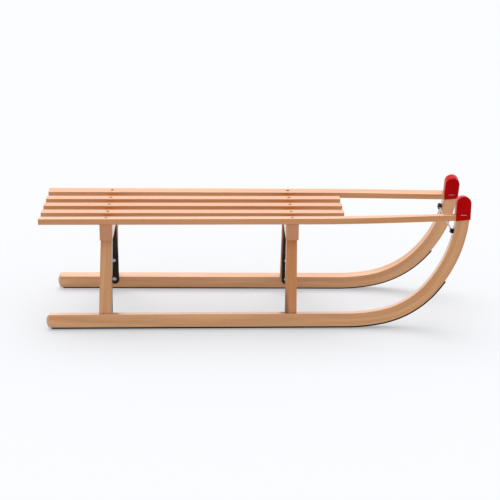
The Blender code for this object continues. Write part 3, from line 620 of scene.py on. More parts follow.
def satin_beech():
    """Steamed beech, sawn, bent, sanded and varnished.

    Long soft bands of colour from the growth rings, short darker ray flecks, and a satin
    varnish that whitens at low angles.  The flecks are drawn about three times coarser
    than real ones, so that they show.
    """
    colours = finishes()
    varnish = {"Coat Weight": 1.0, "Coat Roughness": 0.22}
    material, tree, shader = new_material("satin_beech", colours.beech_light, 0.42, varnish)
    grain = add_node(tree, "ShaderNodeAttribute", output="Vector", attribute_name="grain")
    tone, sawn, heart = [
        add_node(tree, "ShaderNodeAttribute", output="Fac", attribute_name=label)
        for label in ("tone", "sawn", "heart")
    ]
    bands = stretched_noise(tree, grain, (2.5, 75, 60), 3, distortion=0.6)
    lines = stretched_noise(tree, grain, (7, 420, 260), 3, 0.6)
    flecks = stretched_noise(tree, grain, (150, 950, 700), 2, 0.5)
    colour = blended(tree, colours.beech_light, colours.beech_dark, bands, 0.32, 0.74)
    colour = blended(tree, colour, colours.beech_warm, tone, 0.0, 1.0)
    colour = shaded(tree, colour, lines, 0.3, 0.7, 1.05, 0.90)
    colour = shaded(tree, colour, flecks, 0.60, 0.72, 1.0, 0.86)
    # A dark brown streak low on one leg's rear edge, darkest at its foot, ragged along the grain
    # lines.
    ragged = add_node(tree, "ShaderNodeMath", {0: lines, 1: 0.3, 2: heart}, operation="MULTIPLY_ADD")
    colour = blended(tree, colour, colours.dark_streak, ragged, 0.78, 0.92, 0.85)
    colour = blended(tree, colour, colours.beech_end, sawn, 0.0, 1.0, 0.8)
    give_skin(tree, shader, colour, lines, 0.36, 0.50, lines, 0.00015, 0.35)
    return material


def black_lacquer():
    """Hot-dipped black lacquer on flat steel: dull sheen with a fine uneven skin."""
    dull = {"Specular IOR Level": 0.2}
    material, tree, shader = new_material("black_lacquer", finishes().lacquer, 0.42, dull)
    place = add_node(tree, "ShaderNodeTexCoord", output="Object")
    skin = stretched_noise(tree, place, (420, 420, 420), 3)
    cloud = stretched_noise(tree, place, (40, 40, 40), 2)
    give_skin(tree, shader, None, cloud, 0.34, 0.55, skin, 0.00012, 0.5)
    return material


def zinc_plate(name, colour):
    """Zinc plating on small steel parts: a mottled gloss, bright or dulled with age."""
    material, tree, shader = new_material(name, colour, 0.3, {"Metallic": 1.0})
    place = add_node(tree, "ShaderNodeTexCoord", output="Object")
    mottle = stretched_noise(tree, place, (900, 900, 900), 2)
    give_skin(tree, shader, shaded(tree, colour, mottle, 0.3, 0.7, 0.82, 1.08), mottle, 0.24, 0.40)
    return material


def drawn_steel():
    """Plain drawn steel strip: fine lengthways draw lines, and a near-black colour that also paints in
    the contact shadow under the runners.
    """
    # Painted shade: the near-black colour stands for the contact shadow under the runners as well as
    # the steel.
    colour = finishes().drawn_steel
    material, tree, shader = new_material("drawn_steel", colour, 0.38, {"Metallic": 1.0})
    grain = add_node(tree, "ShaderNodeAttribute", output="Vector", attribute_name="grain")
    lines = stretched_noise(tree, grain, (12, 1400, 1400), 3)
    cloud = stretched_noise(tree, grain, (25, 90, 90), 2)
    colour = shaded(tree, colour, cloud, 0.3, 0.7, 0.8, 1.1)
    give_skin(tree, shader, colour, lines, 0.28, 0.5, lines, 0.00005, 0.4)
    return material


def moulded_plastic(name, colour, roughness):
    """Injection-moulded plastic: even colour, faint flow marks and a soft gloss."""
    waxy = {"Specular IOR Level": 0.04, "Sheen Weight": 0.3, "Sheen Roughness": 0.3}
    material, tree, shader = new_material(name, colour, roughness, waxy)
    place = add_node(tree, "ShaderNodeTexCoord", output="Object")
    flow = stretched_noise(tree, place, (90, 90, 25), 2)
    skin = stretched_noise(tree, place, (1500, 1500, 1500), 2)
    colour = shaded(tree, colour, flow, 0.3, 0.7, 0.90, 1.08)
    low, high = roughness - 0.05, roughness + 0.07
    give_skin(tree, shader, colour, flow, low, high, skin, 0.00004, 0.4)
    return material


def finish(name):
    """The named material, made when it is first asked for."""
    if name in bpy.data.materials:
        return bpy.data.materials[name]
    colours = finishes()
    makers = {
        "satin_beech": (satin_beech,),
        "black_lacquer": (black_lacquer,),
        "zinc_plate": (zinc_plate, "zinc_plate", colours.zinc),
        "dull_zinc_plate": (zinc_plate, "dull_zinc_plate", colours.dull_zinc),
        "drawn_steel": (drawn_steel,),
        "red_polythene": (moulded_plastic, "red_polythene", colours.red, 0.33),
        "black_nylon": (moulded_plastic, "black_nylon", colours.black, 0.45),
    }
    maker, *settings = makers[name]
    return maker(*settings)


# ---- wooden pieces

def build_runner(name, side):
    """A steam-bent runner that rises into a horn."""
    wood = woodwork()
    half = wood.runner_thickness / 2
    line = sole_line(wood.runner_rear + wood.rear_bulge, half, HORN_ANGLE, 12)
    top = horn_top()
    line.append((*top, HORN_ANGLE, line[-1][3] + top.y - line[-1][1]))
    stations = side_stations(line, wood.runner_width, wood.runner_thickness)
    runner = bar(
        "bent_runner_" + name, on_side(side, stations), wood.edge_radius,
        wood.end_radius, finish("satin_beech"), RUNNER_TONE, RUNNER_GRAIN[side],
        (wood.rear_bulge, half * 0.9),
    )
    hand_over(runner, "varnished_beech", "runner_" + name)


def leg_stations(name, side):
    """Stations of a leg from the runner's top to the crossbar's underside."""
    wood = woodwork()
    matrix = side_matrix(side)
    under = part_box("crossbar_" + name)[0].z - FIT_GAP
    levels = []
    for across in (wood.leg_inset, wood.runner_width):
        start = matrix @ Vector((0, across, 0))
        levels.append((under - start.z) / (matrix.to_3x3() @ UP).z)
    span = wood.runner_width - wood.leg_inset
    slope = (levels[1] - levels[0]) / span
    foot, top = wood.runner_thickness + FIT_GAP, sum(levels) / 2
    top_width, foot_width = LEG_WIDTHS[name]
    stations = []
    for share in LEG_SHARES:
        up = foot + (top - foot) * share
        x = bridge_x(name) - LEG_FOOT_BACK[name] * (1 - share)
        width = foot_width + (top_width - foot_width) * share
        place = Vector((x, (wood.leg_inset + wood.runner_width) / 2, up))
        across = Vector((0, 1, slope * share))
        stations.append(Station(place, across, -FORWARD, UP, span, width, up))
    return on_side(side, stations)


def mark_dark_streak(leg, side):
    """Store how near each point is to a dark streak low on the leg's rear edge, darkest at its foot.
    """
    to_side = side_matrix(side).inverted()
    points = [to_side @ vert.co for vert in leg.data.vertices]
    rear, front = min(point.x for point in points), max(point.x for point in points)
    foot, head = min(point.z for point in points), max(point.z for point in points)
    layer = leg.data.attributes.new("heart", "FLOAT", "POINT")
    for point, item in zip(points, layer.data):
        back = (front - point.x) / (front - rear)
        item.value = max(0.0, back - 0.7 * (point.z - foot) / (head - foot))


def build_leg(name, side_name, side):
    """A splayed leg between a runner and a crossbar."""
    leg = bar(
        f"splayed_leg_{name}_{side_name}", leg_stations(name, side),
        woodwork().edge_radius * 0.7, CUT_EDGE, finish("satin_beech"),
        LEG_TONES[name], LEG_GRAIN + LEG_GRAIN_STEP * side + bridge_x(name),
    )
    if (name, side_name) == STREAKED_LEG:
        mark_dark_streak(leg, side)
    hand_over(leg, "varnished_beech", f"leg_{name}_{side_name}")


def build_crossbar(name):
    """A crossbar whose top rises at both ends under the tilted rails."""
    wood = woodwork()
    corners, tilt = rail_section(bridge_x(name), 1)
    low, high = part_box("crossbar_" + name)
    flat = SLAT_LOW.z - FIT_GAP
    knee = corners[2].x - (corners[2].y - FIT_GAP - flat) / tan(tilt)
    stations = []
    for y in (-high.y, -knee, -knee / 2, 0.0, knee / 2, knee, high.y):
        top = flat + max(0.0, abs(y) - knee) * tan(tilt)
        place = Vector(((low.x + high.x) / 2, y, (top + low.z) / 2))
        stations.append(Station(place, -FORWARD, UP, ACROSS, high.x - low.x, top - low.z, y))
    crossbar = bar(
        "joined_crossbar_" + name, stations, wood.edge_radius * 0.8, wood.end_radius,
        finish("satin_beech"), CROSSBAR_TONE, CROSSBAR_GRAIN + bridge_x(name),
    )
    hand_over(crossbar, "varnished_beech", "crossbar_" + name)


def screw_holes(places):
    """Cutter for the countersunk holes of wood screws."""
    metal = hardware()
    head, shank = metal.head_radius + FIT_GAP, metal.shank_radius + FIT_GAP
    depth = metal.head_sink + metal.head_depth
    profile = [(head, HOLE_MOUTH), (head, -metal.head_sink), (shank, -depth), (shank, -HOLE_DEPTH)]
    return turned("hole_cutter", profile, places, finish("satin_beech"))


def drill(obj, spots):
    """Cut countersunk holes where fasteners have their (place, outwards, crossways)."""
    cut(obj, screw_holes([frame_at(place, outwards) for place, outwards, _ in spots]))


def seat_screw_places(wood_name):
    """Placement of the two screws through one slat or rail."""
    places = []
    for bridge in BRIDGES:
        x, y, _ = middle_of(f"seat_screw_{bridge}_{wood_name}")
        if wood_name.startswith("slat"):
            places.append(frame_at((x, y, SLAT_HIGH.z), UP))
            continue
        side = SIDES[wood_name.removeprefix("rail_")]
        corners, tilt = rail_section(x - seat_rear(), side)
        middle = (corners[0] + corners[1]) / 2
        places.append(frame_at((x, *middle), (0, -side * sin(tilt), cos(tilt))))
    return places


def regrain(obj, centre_y, shift, tone):
    """Grain coordinates straight from the place of each point, after a cut."""
    mesh = obj.data
    for label in ("grain", "sawn", "tone"):
        mesh.attributes.remove(mesh.attributes[label])
    points = [vertex.co for vertex in mesh.vertices]
    low = min(point.x for point in points) + SAWN_RIM
    high = max(point.x for point in points) - SAWN_RIM
    grain = [(p.x + shift, p.y - centre_y(p.x) + shift, p.z + 0.3 * shift) for p in points]
    sawn = [0.0 if low < point.x < high else 1.0 for point in points]
    write_grain(mesh, grain, sawn, tone)


def build_rail(name, side):
    """A long seat rail, drawn in to its horn."""
    wood = woodwork()
    end = rail_end() - 2 * FIT_GAP
    places = [0.0, 0.1, 0.3, 0.5]
    places += [wood.rail_bend + (end - wood.rail_bend) * i / 24 for i in range(25)]
    stations = []
    for x in places:
        corners, _ = rail_section(x, side)
        centre = sum(corners, Vector((0, 0))) / 4
        across, up = corners[0] - corners[1], corners[1] - corners[2]
        stations.append(Station(
            Vector((seat_rear() + x, *centre)), Vector((0, *across.normalized())),
            Vector((0, *up.normalized())), FORWARD, across.length, up.length, x,
        ))
    rail = bar(
        "drawn_in_rail_" + name, stations, wood.edge_radius, wood.end_radius, finish("satin_beech")
    )
    cut(rail, screw_holes(seat_screw_places("rail_" + name)))

    def centre_y(x):
        corners, _ = rail_section(x - seat_rear(), side)
        return (corners[0].x + corners[1].x) / 2

    regrain(rail, centre_y, RAIL_GRAIN[side], RAIL_TONES[side])
    hand_over(rail, "varnished_beech", "seat_rail_" + name)


def build_slat_pattern():
    """One slat with its screw holes, on the middle line."""
    wood = woodwork()
    stations = []
    for i in range(7):
        place = middle_of("seat_slat_centre")
        place.x = SLAT_LOW.x + SLAT_SIZE.x * i / 6
        stations.append(Station(place, ACROSS, UP, FORWARD, SLAT_SIZE.y, SLAT_SIZE.z, place.x))
    slat = bar("slat_pattern", stations, wood.edge_radius, wood.end_radius, finish("satin_beech"))
    cut(slat, screw_holes(seat_screw_places("slat_centre")))
    regrain(slat, lambda x: 0.0, 0.0, 0.5)
    return slat


# ---- geometry node trees

def new_tree(name, **inputs):
    """Geometry tree with inputs named by kind, and the sockets that give them."""
    tree = bpy.data.node_groups.new(name, "GeometryNodeTree")
    tree.is_modifier = True
    for in_out in ("INPUT", "OUTPUT"):
        tree.interface.new_socket(name="Geometry", in_out=in_out, socket_type="NodeSocketGeometry")
    for kind, labels in {**inputs, "Material": ("Material",)}.items():
        for label in labels:
            tree.interface.new_socket(name=label, in_out="INPUT", socket_type="NodeSocket" + kind)
    return tree, add_node(tree, "NodeGroupInput").node.outputs


def stored(tree, geometry, domain, label, kind, value):
    """Geometry with an attribute stored on it."""
    return add_node(
        tree, "GeometryNodeStoreNamedAttribute", {0: geometry, "Name": label, "Value": value},
        data_type=kind, domain=domain,
    )


def named(tree, label, kind):
    """The values of an attribute."""
    return add_node(tree, "GeometryNodeInputNamedAttribute", {"Name": label}, data_type=kind)


def close_tree(tree, geometry, material):
    """End a tree with Realize Instances and Set Material."""
    real = add_node(tree, "GeometryNodeRealizeInstances", {0: geometry})
    done = add_node(tree, "GeometryNodeSetMaterial", {"Geometry": real, "Material": material})
    add_node(tree, "NodeGroupOutput", {0: done})
    return tree


def run_tree(name, points, tree, values, attributes=()):
    """Plain mesh object made by a tree from points and input values."""
    mesh = bpy.data.meshes.new(name)
    mesh.from_pydata([tuple(point) for point in points], [], [])
    for label, vectors in dict(attributes).items():
        layer = mesh.attributes.new(label, "FLOAT_VECTOR", "POINT")
        layer.data.foreach_set("vector", [c for vector in vectors for c in vector])
    obj = add_object(name, mesh)
    modifier = obj.modifiers.new(name, "NODES")
    modifier.node_group = tree
    for item in tree.interface.items_tree:
        if item.in_out == "INPUT" and item.name in values:
            modifier[item.identifier] = values[item.name]
    apply_modifiers(obj)
    return obj


def slat_tree():
    """Slats side by side, each with its own stretch of wood and tone."""
    tree, out = new_tree(
        "slat_rows", Object=("Slat",), Int=("Count", "Seed"), Vector=("First", "Pitch")
    )
    line = add_node(tree, "GeometryNodeMeshLine", {
        "Count": out["Count"], "Start Location": out["First"], "Offset": out["Pitch"],
    })
    pattern = add_node(tree, "GeometryNodeObjectInfo", {"Object": out["Slat"]}, "Geometry")
    slats = add_node(tree, "GeometryNodeInstanceOnPoints", {"Points": line, "Instance": pattern})
    each = {"ID": add_node(tree, "GeometryNodeInputIndex"), "Seed": out["Seed"]}
    move = add_node(
        tree, "FunctionNodeRandomValue", {0: (0.0, 0.0, 0.0), 1: (9.0, 4.0, 4.0), **each},
        data_type="FLOAT_VECTOR",
    )
    tone = add_node(
        tree, "FunctionNodeRandomValue", {2: 0.45, 3: 0.85, **each}, 1, data_type="FLOAT"
    )
    slats = stored(tree, slats, "INSTANCE", "move", "FLOAT_VECTOR", move)
    slats = stored(tree, slats, "INSTANCE", "own_tone", "FLOAT", tone)
    slats = add_node(tree, "GeometryNodeRealizeInstances", {0: slats})
    grain, move = named(tree, "grain", "FLOAT_VECTOR"), named(tree, "move", "FLOAT_VECTOR")
    grain = add_node(tree, "ShaderNodeVectorMath", {0: grain, 1: move})
    slats = stored(tree, slats, "POINT", "grain", "FLOAT_VECTOR", grain)
    slats = stored(tree, slats, "POINT", "tone", "FLOAT", named(tree, "own_tone", "FLOAT"))
    return close_tree(tree, slats, out["Material"])


def close_on_points(tree, out, parts):
    """Shade a pattern's parts and end a tree with it on each point, turned to its facing."""
    shape = add_node(tree, "GeometryNodeJoinGeometry", {0: parts})
    angle = add_node(tree, "GeometryNodeInputMeshEdgeAngle")
    smooth = add_node(tree, "FunctionNodeCompare", {0: angle, 1: CREASE}, operation="LESS_EQUAL")
    for domain, shade in (("FACE", True), ("EDGE", smooth)):
        shape = add_node(
            tree, "GeometryNodeSetShadeSmooth", {0: shape, "Shade Smooth": shade}, domain=domain
        )
    facing = {"Vector": named(tree, "facing", "FLOAT_VECTOR")}
    turn = add_node(tree, "FunctionNodeAlignRotationToVector", facing, axis="Z")
    side_on = {"Rotation": turn, "Vector": named(tree, "side_on", "FLOAT_VECTOR")}
    turn = add_node(
        tree, "FunctionNodeAlignRotationToVector", side_on, axis="X", pivot_axis="Z"
    )
    copies = add_node(tree, "GeometryNodeInstanceOnPoints", {
        "Points": out["Geometry"], "Instance": shape, "Rotation": turn,
    })
    return close_tree(tree, copies, out["Material"])


def carve(tree, shape, size, place):
    """A shape less a box of a size at a place."""
    box = add_node(tree, "GeometryNodeMeshCube", {"Size": size})
    box = add_node(tree, "GeometryNodeTransform", {"Geometry": box, "Translation": place})
    return add_node(
        tree, "GeometryNodeMeshBoolean", {"Mesh 1": shape, "Mesh 2": box},
        operation="DIFFERENCE", solver="EXACT",
    )


def add_shank(tree, out):
    """The round shank of a screw or rivet, from the tree's inputs."""
    rod = add_node(tree, "GeometryNodeMeshCylinder", {
        "Vertices": ROUND_SIDES, "Radius": out["Shank radius"], "Depth": out["Shank length"],
    })
    return add_node(
        tree, "GeometryNodeTransform", {"Geometry": rod, "Translation": out["Shank place"]}
    )


def screw_tree():
    """Countersunk cross-recess screws on points."""
    tree, out = new_tree(
        "countersunk_screws",
        Float=("Head radius", "Shank radius", "Head depth", "Shank length"),
        Vector=("Head place", "Shank place", "Recess", "Crossing recess", "Recess place"),
    )
    head = add_node(tree, "GeometryNodeMeshCone", {
        "Vertices": ROUND_SIDES, "Radius Top": out["Head radius"],
        "Radius Bottom": out["Shank radius"], "Depth": out["Head depth"],
    })
    head = add_node(
        tree, "GeometryNodeTransform", {"Geometry": head, "Translation": out["Head place"]}
    )
    for recess in ("Recess", "Crossing recess"):
        head = carve(tree, head, out[recess], out["Recess place"])
    return close_on_points(tree, out, [head, add_shank(tree, out)])


def rivet_tree():
    """Round-headed rivets on points."""
    tree, out = new_tree(
        "round_rivets", Float=("Shank radius", "Shank length"), Vector=("Head size", "Shank place")
    )
    head = add_node(
        tree, "GeometryNodeMeshUVSphere", {"Segments": ROUND_SIDES, "Rings": 16, "Radius": 1.0}
    )
    head = add_node(tree, "GeometryNodeTransform", {"Geometry": head, "Scale": out["Head size"]})
    head = carve(tree, head, (2 * RIVET_TRIM, 2 * RIVET_TRIM, RIVET_TRIM), -RIVET_TRIM / 2 * UP)
    return close_on_points(tree, out, [head, add_shank(tree, out)])


def staple_tree():
    """Round-wire staples on points: a crown between two legs."""
    ends = ("Foot", "Shoulder", "Far shoulder", "Far foot")
    tree, out = new_tree("wire_staples", Float=("Wire radius",), Vector=ends)
    runs = [
        add_node(tree, "GeometryNodeCurvePrimitiveLine", {"Start": out[first], "End": out[last]})
        for first, last in zip(ends, ends[1:])
    ]
    path = add_node(tree, "GeometryNodeJoinGeometry", {0: runs})
    circle = add_node(
        tree, "GeometryNodeCurvePrimitiveCircle", {"Resolution": 10, "Radius": out["Wire radius"]}
    )
    wire = add_node(tree, "GeometryNodeCurveToMesh", {
        "Curve": path, "Profile Curve": circle, "Fill Caps": True,
    })
    return close_on_points(tree, out, [wire])


# ---- steel and plastic pieces

def build_shoe(name, side):
    """The steel strip under a runner."""
    metal = hardware()
    depth = -FIT_GAP - metal.shoe_thickness / 2
    line = sole_line(metal.shoe_rear, depth, metal.shoe_end, 10)
    stations = side_stations(line, metal.shoe_width, metal.shoe_thickness)
    # The shoe's near-black finish also paints in the contact shadow under the runner.
    shoe = bar(
        "steel_shoe_" + name, on_side(side, stations), SHOE_EDGE, CUT_EDGE,
        finish("drawn_steel"), shift=0.4 * side,
    )
    drill(shoe, shoe_screw_places(name, side))
    hand_over(shoe, "shoe_steel", "runner_shoe_" + name)


def rounded_corner(before, corner, after, radius, steps=8):
    """Points of an arc that eases one corner of a path."""
    back, ahead = (before - corner).normalized(), (after - corner).normalized()
    half = back.angle(ahead) / 2
    centre = corner + (back + ahead).normalized() * (radius / sin(half))
    start, end = (corner + way * (radius / tan(half)) - centre for way in (back, ahead))
    sweep = start.angle(end)
    shares = [i / steps for i in range(steps + 1)]
    arc = [start * sin((1 - share) * sweep) + end * sin(share * sweep) for share in shares]
    return [centre + point / sin(sweep) for point in arc]


def brace_half_path(name):
    """Half of a brace's outer face as (y, z) points, from the low end to the middle."""
    wood, metal = woodwork(), hardware()
    matrix = side_matrix(1)

    def on_leg(up):
        return (matrix @ Vector((bridge_x(name), wood.runner_width + BRACE_GAP, up))).yz

    low = [on_leg(metal.brace_low + metal.brace_width / 2 * share) for share in BRACE_TIP_SHARES]
    leaves = on_leg(metal.brace_leaves)
    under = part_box("crossbar_" + name)[0].z - FIT_GAP
    corner, middle = Vector((metal.brace_top, under)), Vector((0, under))
    points = low + rounded_corner(low[-1], leaves, corner, BRACE_LEG_BEND)
    return points + rounded_corner(leaves, corner, middle, BRACE_TOP_BEND) + [middle]


def build_brace(name):
    """A flat steel bow under a crossbar, down both legs to the runners."""
    metal = hardware()
    half = brace_half_path(name)
    path = half + [Vector((-point.x, point.y)) for point in reversed(half[:-1])]
    x = seat_rear() + bridge_x(name)
    radius = metal.brace_width / 2
    stations = []
    distance = 0.0
    for before, point, after in zip(path[:1] + path, path, path[1:] + path[-1:]):
        ahead = (after - before).normalized()
        inwards = Vector((-ahead.y, ahead.x))
        middle = point + inwards * metal.brace_thickness / 2
        depth = min((point - path[0]).length, (point - path[-1]).length, radius)
        width = 2 * sqrt(max(radius ** 2 - (radius - depth) ** 2, (0.2 * radius) ** 2))
        distance += (point - before).length
        stations.append(Station(
            Vector((x, *middle)), FORWARD, Vector((0, *inwards)),
            Vector((0, *ahead)), width, metal.brace_thickness, distance,
        ))
    brace = bar("flat_steel_bow_" + name, stations, BRACE_EDGE, CUT_EDGE, finish("black_lacquer"))
    drill(brace, brace_screw_places(name))
    hand_over(brace, "black_steel", "brace_" + name)


def cap_outline(inset):
    """Side outline (x, z) of a cap, moved in by an inset."""
    metal = hardware()
    size = woodwork().runner_thickness / 2 + metal.cap_wall - inset
    along = Vector((cos(HORN_ANGLE), sin(HORN_ANGLE)))
    arc = tip_arc(size, 36)
    lows = []
    for top, low in ((arc[-1], metal.cap_bottom_rear), (arc[0], metal.cap_bottom_front)):
        lows.append(top + along * ((low + inset * 0.6 - top.y) / along.y))
    return lows + arc


def build_cap(name, side):
    """A moulded cap over a horn's tip, open below and notched for the rail."""
    metal = hardware()
    matrix = side_matrix(side)
    low, high = -metal.cap_wall, woodwork().runner_width + metal.cap_wall
    r = metal.cap_rounding
    rounding = []
    for i in range(6):
        angle = pi / 2 * i / 5
        rounding.append((r * (1 - sin(angle)), r * (1 - cos(angle))))
    layers = [(low + y, inset) for y, inset in reversed(rounding)]
    layers += [(high - y, inset) for y, inset in rounding]
    outlines = [side_outline(matrix, cap_outline(inset), y) for y, inset in layers]
    cap = lofted("moulded_cap_" + name, outlines, finish("red_polythene"))
    cut(cap, cap_cavity(matrix))
    cut(cap, cap_notch(side), CAP_CREASE)
    hand_over(cap, "red_plastic", "horn_cap_" + name)


def side_outline(matrix, outline, y):
    """An (x, z) outline brought into the world at a depth y of one side."""
    return [matrix @ Vector((x, y, z)) for x, z in outline]


def cap_cavity(matrix):
    """The room inside a cap for the horn."""
    wood = woodwork()
    front, rear = (
        [Vector(spot[:2]) for spot in bend_stations(offset)[-24:]]
        for offset in (-FIT_GAP, wood.runner_thickness + FIT_GAP)
    )
    outline = front + tip_arc(wood.runner_thickness / 2 + FIT_GAP, 18) + rear[::-1]
    depths = (-FIT_GAP, wood.runner_width + FIT_GAP)
    outlines = [side_outline(matrix, outline, y) for y in depths]
    return lofted("cavity_cutter", outlines, finish("red_polythene"))


def cap_notch(side):
    """The opening in a cap's rear wall for the rail."""
    outlines = []
    for x in (rail_end() - NOTCH_BEHIND, rail_end() + NOTCH_AHEAD):
        corners, _ = rail_section(x, side)
        across = (corners[1] - corners[0]).normalized() * NOTCH_GAP
        down = (corners[2] - corners[1]).normalized() * NOTCH_GAP
        moves = (-across - down, across - down, across + 12 * down, 12 * down - across)
        spots = [corner + move for corner, move in zip(corners, moves)]
        outlines.append([Vector((seat_rear() + x, *spot)) for spot in spots])
    return lofted("notch_cutter", outlines, finish("red_polythene"))


def build_tow_bar():
    """The tow bar across the horns, with domed ends inside its blocks."""
    r = hardware().bar_radius
    low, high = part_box("tow_bar")
    half = (high.y - low.y) / 2
    profile = [(r * 0.5, -half), (r * 0.9, -half + r * 0.15), (r, -half + r * 0.4)]
    profile += [(r, half * i / 4) for i in range(-3, 4)]
    profile += [(radius, -height) for radius, height in reversed(profile[:3])]
    place = frame_at((low + high) / 2, ACROSS)
    tow_bar = turned("tow_bar_rod", profile, [place], finish("zinc_plate"))
    hand_over(tow_bar, "bright_steel", "tow_bar")


def tow_block_seat():
    """Directions back and along of the horn's rear face at the tow bar, and a block's middle."""
    up = hardware().bar_up
    deep, wide, _ = TOW_BLOCK
    x, angle = rear_face(up)
    back, along = Vector((-sin(angle), 0, cos(angle))), Vector((cos(angle), 0, sin(angle)))
    middle = Vector((x, TOW_BLOCK_INSET + wide / 2, up)) + back * (2 * FIT_GAP + deep / 2)
    return back, along, middle


def tow_screw_places(side):
    """Place, outward direction and cross direction of one block's screw."""
    back, _, middle = tow_block_seat()
    deep, wide, _ = TOW_BLOCK
    head = middle + back * (deep / 2) - ACROSS * (wide / 2 - TOW_SCREW_ACROSS)
    return side_points(side, [(head, back, ACROSS)])


def build_tow_block(name, side):
    """The block that holds one end of the tow bar on a horn's rear face."""
    deep, wide, tall = TOW_BLOCK
    back, along, middle = tow_block_seat()
    stations = [
        Station(middle + along * up, ACROSS, back, along, wide, deep, up)
        for up in (-tall / 2, 0.0, tall / 2)
    ]
    block = bar(
        "moulded_block_" + name, on_side(side, stations), BLOCK_EDGE, BLOCK_END,
        finish("black_nylon"),
    )
    drill(block, tow_screw_places(side))
    hand_over(block, "black_plastic", "tow_bar_block_" + name)


# ---- fasteners

def side_points(side, places):
    """World points and directions of fasteners given in one side's frame."""
    matrix = side_matrix(side)
    turn = matrix.to_3x3()
    return [(matrix @ Vector(p), turn @ Vector(d), turn @ Vector(s)) for p, d, s in places]


def fasten(name, tree, places, values, nodes):
    """One object of like fasteners made by a tree, standing for its CAD nodes."""
    points, facings, sides = zip(*places)
    obj = run_tree(name, points, tree, values, {"facing": facings, "side_on": sides})
    hand_over(obj, "bright_steel", *nodes_named(nodes))


def screw_values(length):
    """Inputs of the screw tree for one length."""
    metal = hardware()
    base = metal.head_sink + metal.head_depth
    long, wide = metal.head_radius * RECESS_LENGTH, metal.head_radius * RECESS_WIDTH
    deep = metal.head_depth * RECESS_DEPTH
    return {
        "Head radius": metal.head_radius, "Head depth": metal.head_depth,
        "Head place": (0.0, 0.0, -base), "Recess place": (0.0, 0.0, -metal.head_sink),
        "Recess": (long, wide, deep), "Crossing recess": (wide, long, deep),
        "Shank radius": metal.shank_radius, "Shank length": length - base,
        "Shank place": (0.0, 0.0, -(base + length) / 2), "Material": finish("dull_zinc_plate"),
    }


def nodes_named(start):
    """CAD nodes whose names start with a word."""
    return sorted(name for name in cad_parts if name.startswith(start))


def build_seat_screws(tree):
    """Screws through the slats and rails."""
    places = []
    for i, name in enumerate(("slat_left", "slat_centre", "slat_right", "rail_left", "rail_right")):
        for k, place in enumerate(seat_screw_places(name)):
            turn = radians(SCREW_TURN + SCREW_TURN_BY_WOOD * i + SCREW_TURN_BY_BRIDGE * k)
            axes = place.to_3x3()
            side_on = axes @ Vector((cos(turn), sin(turn), 0))
            places.append((place.translation, axes @ UP, side_on))
    fasten("seat_wood_screws", tree, places, screw_values(SEAT_SCREW), "seat_screw_")


def shoe_screw_places(name, side):
    """Place, outward direction and cross direction of one shoe's screws."""
    metal, wood = hardware(), woodwork()
    depth = -FIT_GAP - metal.shoe_thickness
    to_side = side_matrix(side).inverted()
    places = []
    for node in nodes_named("shoe_screw_" + name):
        x, z, angle = (to_side @ middle_of(node)).x, depth, 0.0
        if x > wood.bend_start:
            x, z, angle, _ = bend_stations(depth, metal.shoe_end - SHOE_SCREW_SETBACK)[-1]
        spot = (x, wood.runner_width / 2, z)
        places.append((spot, (sin(angle), 0, -cos(angle)), ACROSS))
    return side_points(side, places)


def build_shoe_screws(tree):
    """Screws through the shoes, flush with their undersides."""
    for name, side in SIDES.items():
        places = shoe_screw_places(name, side)
        values = screw_values(SHOE_SCREW)
        fasten("shoe_wood_screws_" + name, tree, places, values, "shoe_screw_" + name)


def brace_screw_places(bridge):
    """Place, outward direction and cross direction of the screws under one crossbar."""
    places = []
    for node in nodes_named("brace_screw_" + bridge):
        spot = middle_of(node)
        spot.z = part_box(node)[0].z - hardware().head_sink
        places.append((spot, -UP, Vector((1, 0.3, 0))))
    return places


def build_brace_fasteners(screws, rivets):
    """Rivets through the braces' legs and screws under the crossbars."""
    metal = hardware()
    across = woodwork().runner_width + BRACE_GAP + metal.brace_thickness
    spots = [
        ((bridge_x(bridge), across, up), ACROSS, FORWARD)
        for bridge in BRIDGES for up in RIVET_HEIGHTS
    ]
    length = metal.brace_thickness + RIVET_GRIP
    values = {
        "Head size": (metal.rivet_radius, metal.rivet_radius, metal.rivet_height),
        "Shank radius": RIVET_SHANK, "Shank length": length,
        "Shank place": (0.0, 0.0, -length / 2), "Material": finish("zinc_plate"),
    }
    places = side_points(1, spots) + side_points(-1, spots)
    fasten("brace_round_rivets", rivets, places, values, "brace_rivet_")
    places = brace_screw_places("rear") + brace_screw_places("front")
    fasten("brace_wood_screws", screws, places, screw_values(BRACE_SCREW), "brace_screw_")


def build_staples(tree):
    """Wire staples on both faces of each cap."""
    metal = hardware()
    centre = horn_top()
    x = centre.x - (centre.y - metal.staple_up) / tan(HORN_ANGLE)
    faces = ((-metal.cap_wall, -ACROSS), (woodwork().runner_width + metal.cap_wall, ACROSS))
    spots = [((x, y, metal.staple_up), facing, FORWARD) for y, facing in faces]
    half, radius = metal.staple_crown / 2, metal.staple_wire / 2
    values = {
        "Foot": (-half, 0.0, -STAPLE_LEG), "Shoulder": (-half, 0.0, radius),
        "Far shoulder": (half, 0.0, radius), "Far foot": (half, 0.0, -STAPLE_LEG),
        "Wire radius": radius, "Material": finish("zinc_plate"),
    }
    places = side_points(1, spots) + side_points(-1, spots)
    fasten("cap_wire_staples", tree, places, values, "cap_staple_")


def build_tow_screws(tree):
    """The screws through the tow bar's blocks."""
    places = tow_screw_places(1) + tow_screw_places(-1)
    fasten("tow_block_screws", tree, places, screw_values(TOW_SCREW), "tow_bar_screw_")


# ---- operators

class TOBOGGAN_OT_runners(bpy.types.Operator):
    """Build the two bent runners"""

    bl_idname = "toboggan.runners"
    bl_label = "Runners"

    def execute(self, context):
        for name, side in SIDES.items():
            build_runner(name, side)
        return {"FINISHED"}


class TOBOGGAN_OT_bridges(bpy.types.Operator):
    """Build the crossbars and legs of both bridges"""

    bl_idname = "toboggan.bridges"
    bl_label = "Bridges"

    def execute(self, context):
        for name in BRIDGES:
            build_crossbar(name)
            for side_name, side in SIDES.items():
                build_leg(name, side_name, side)
        return {"FINISHED"}


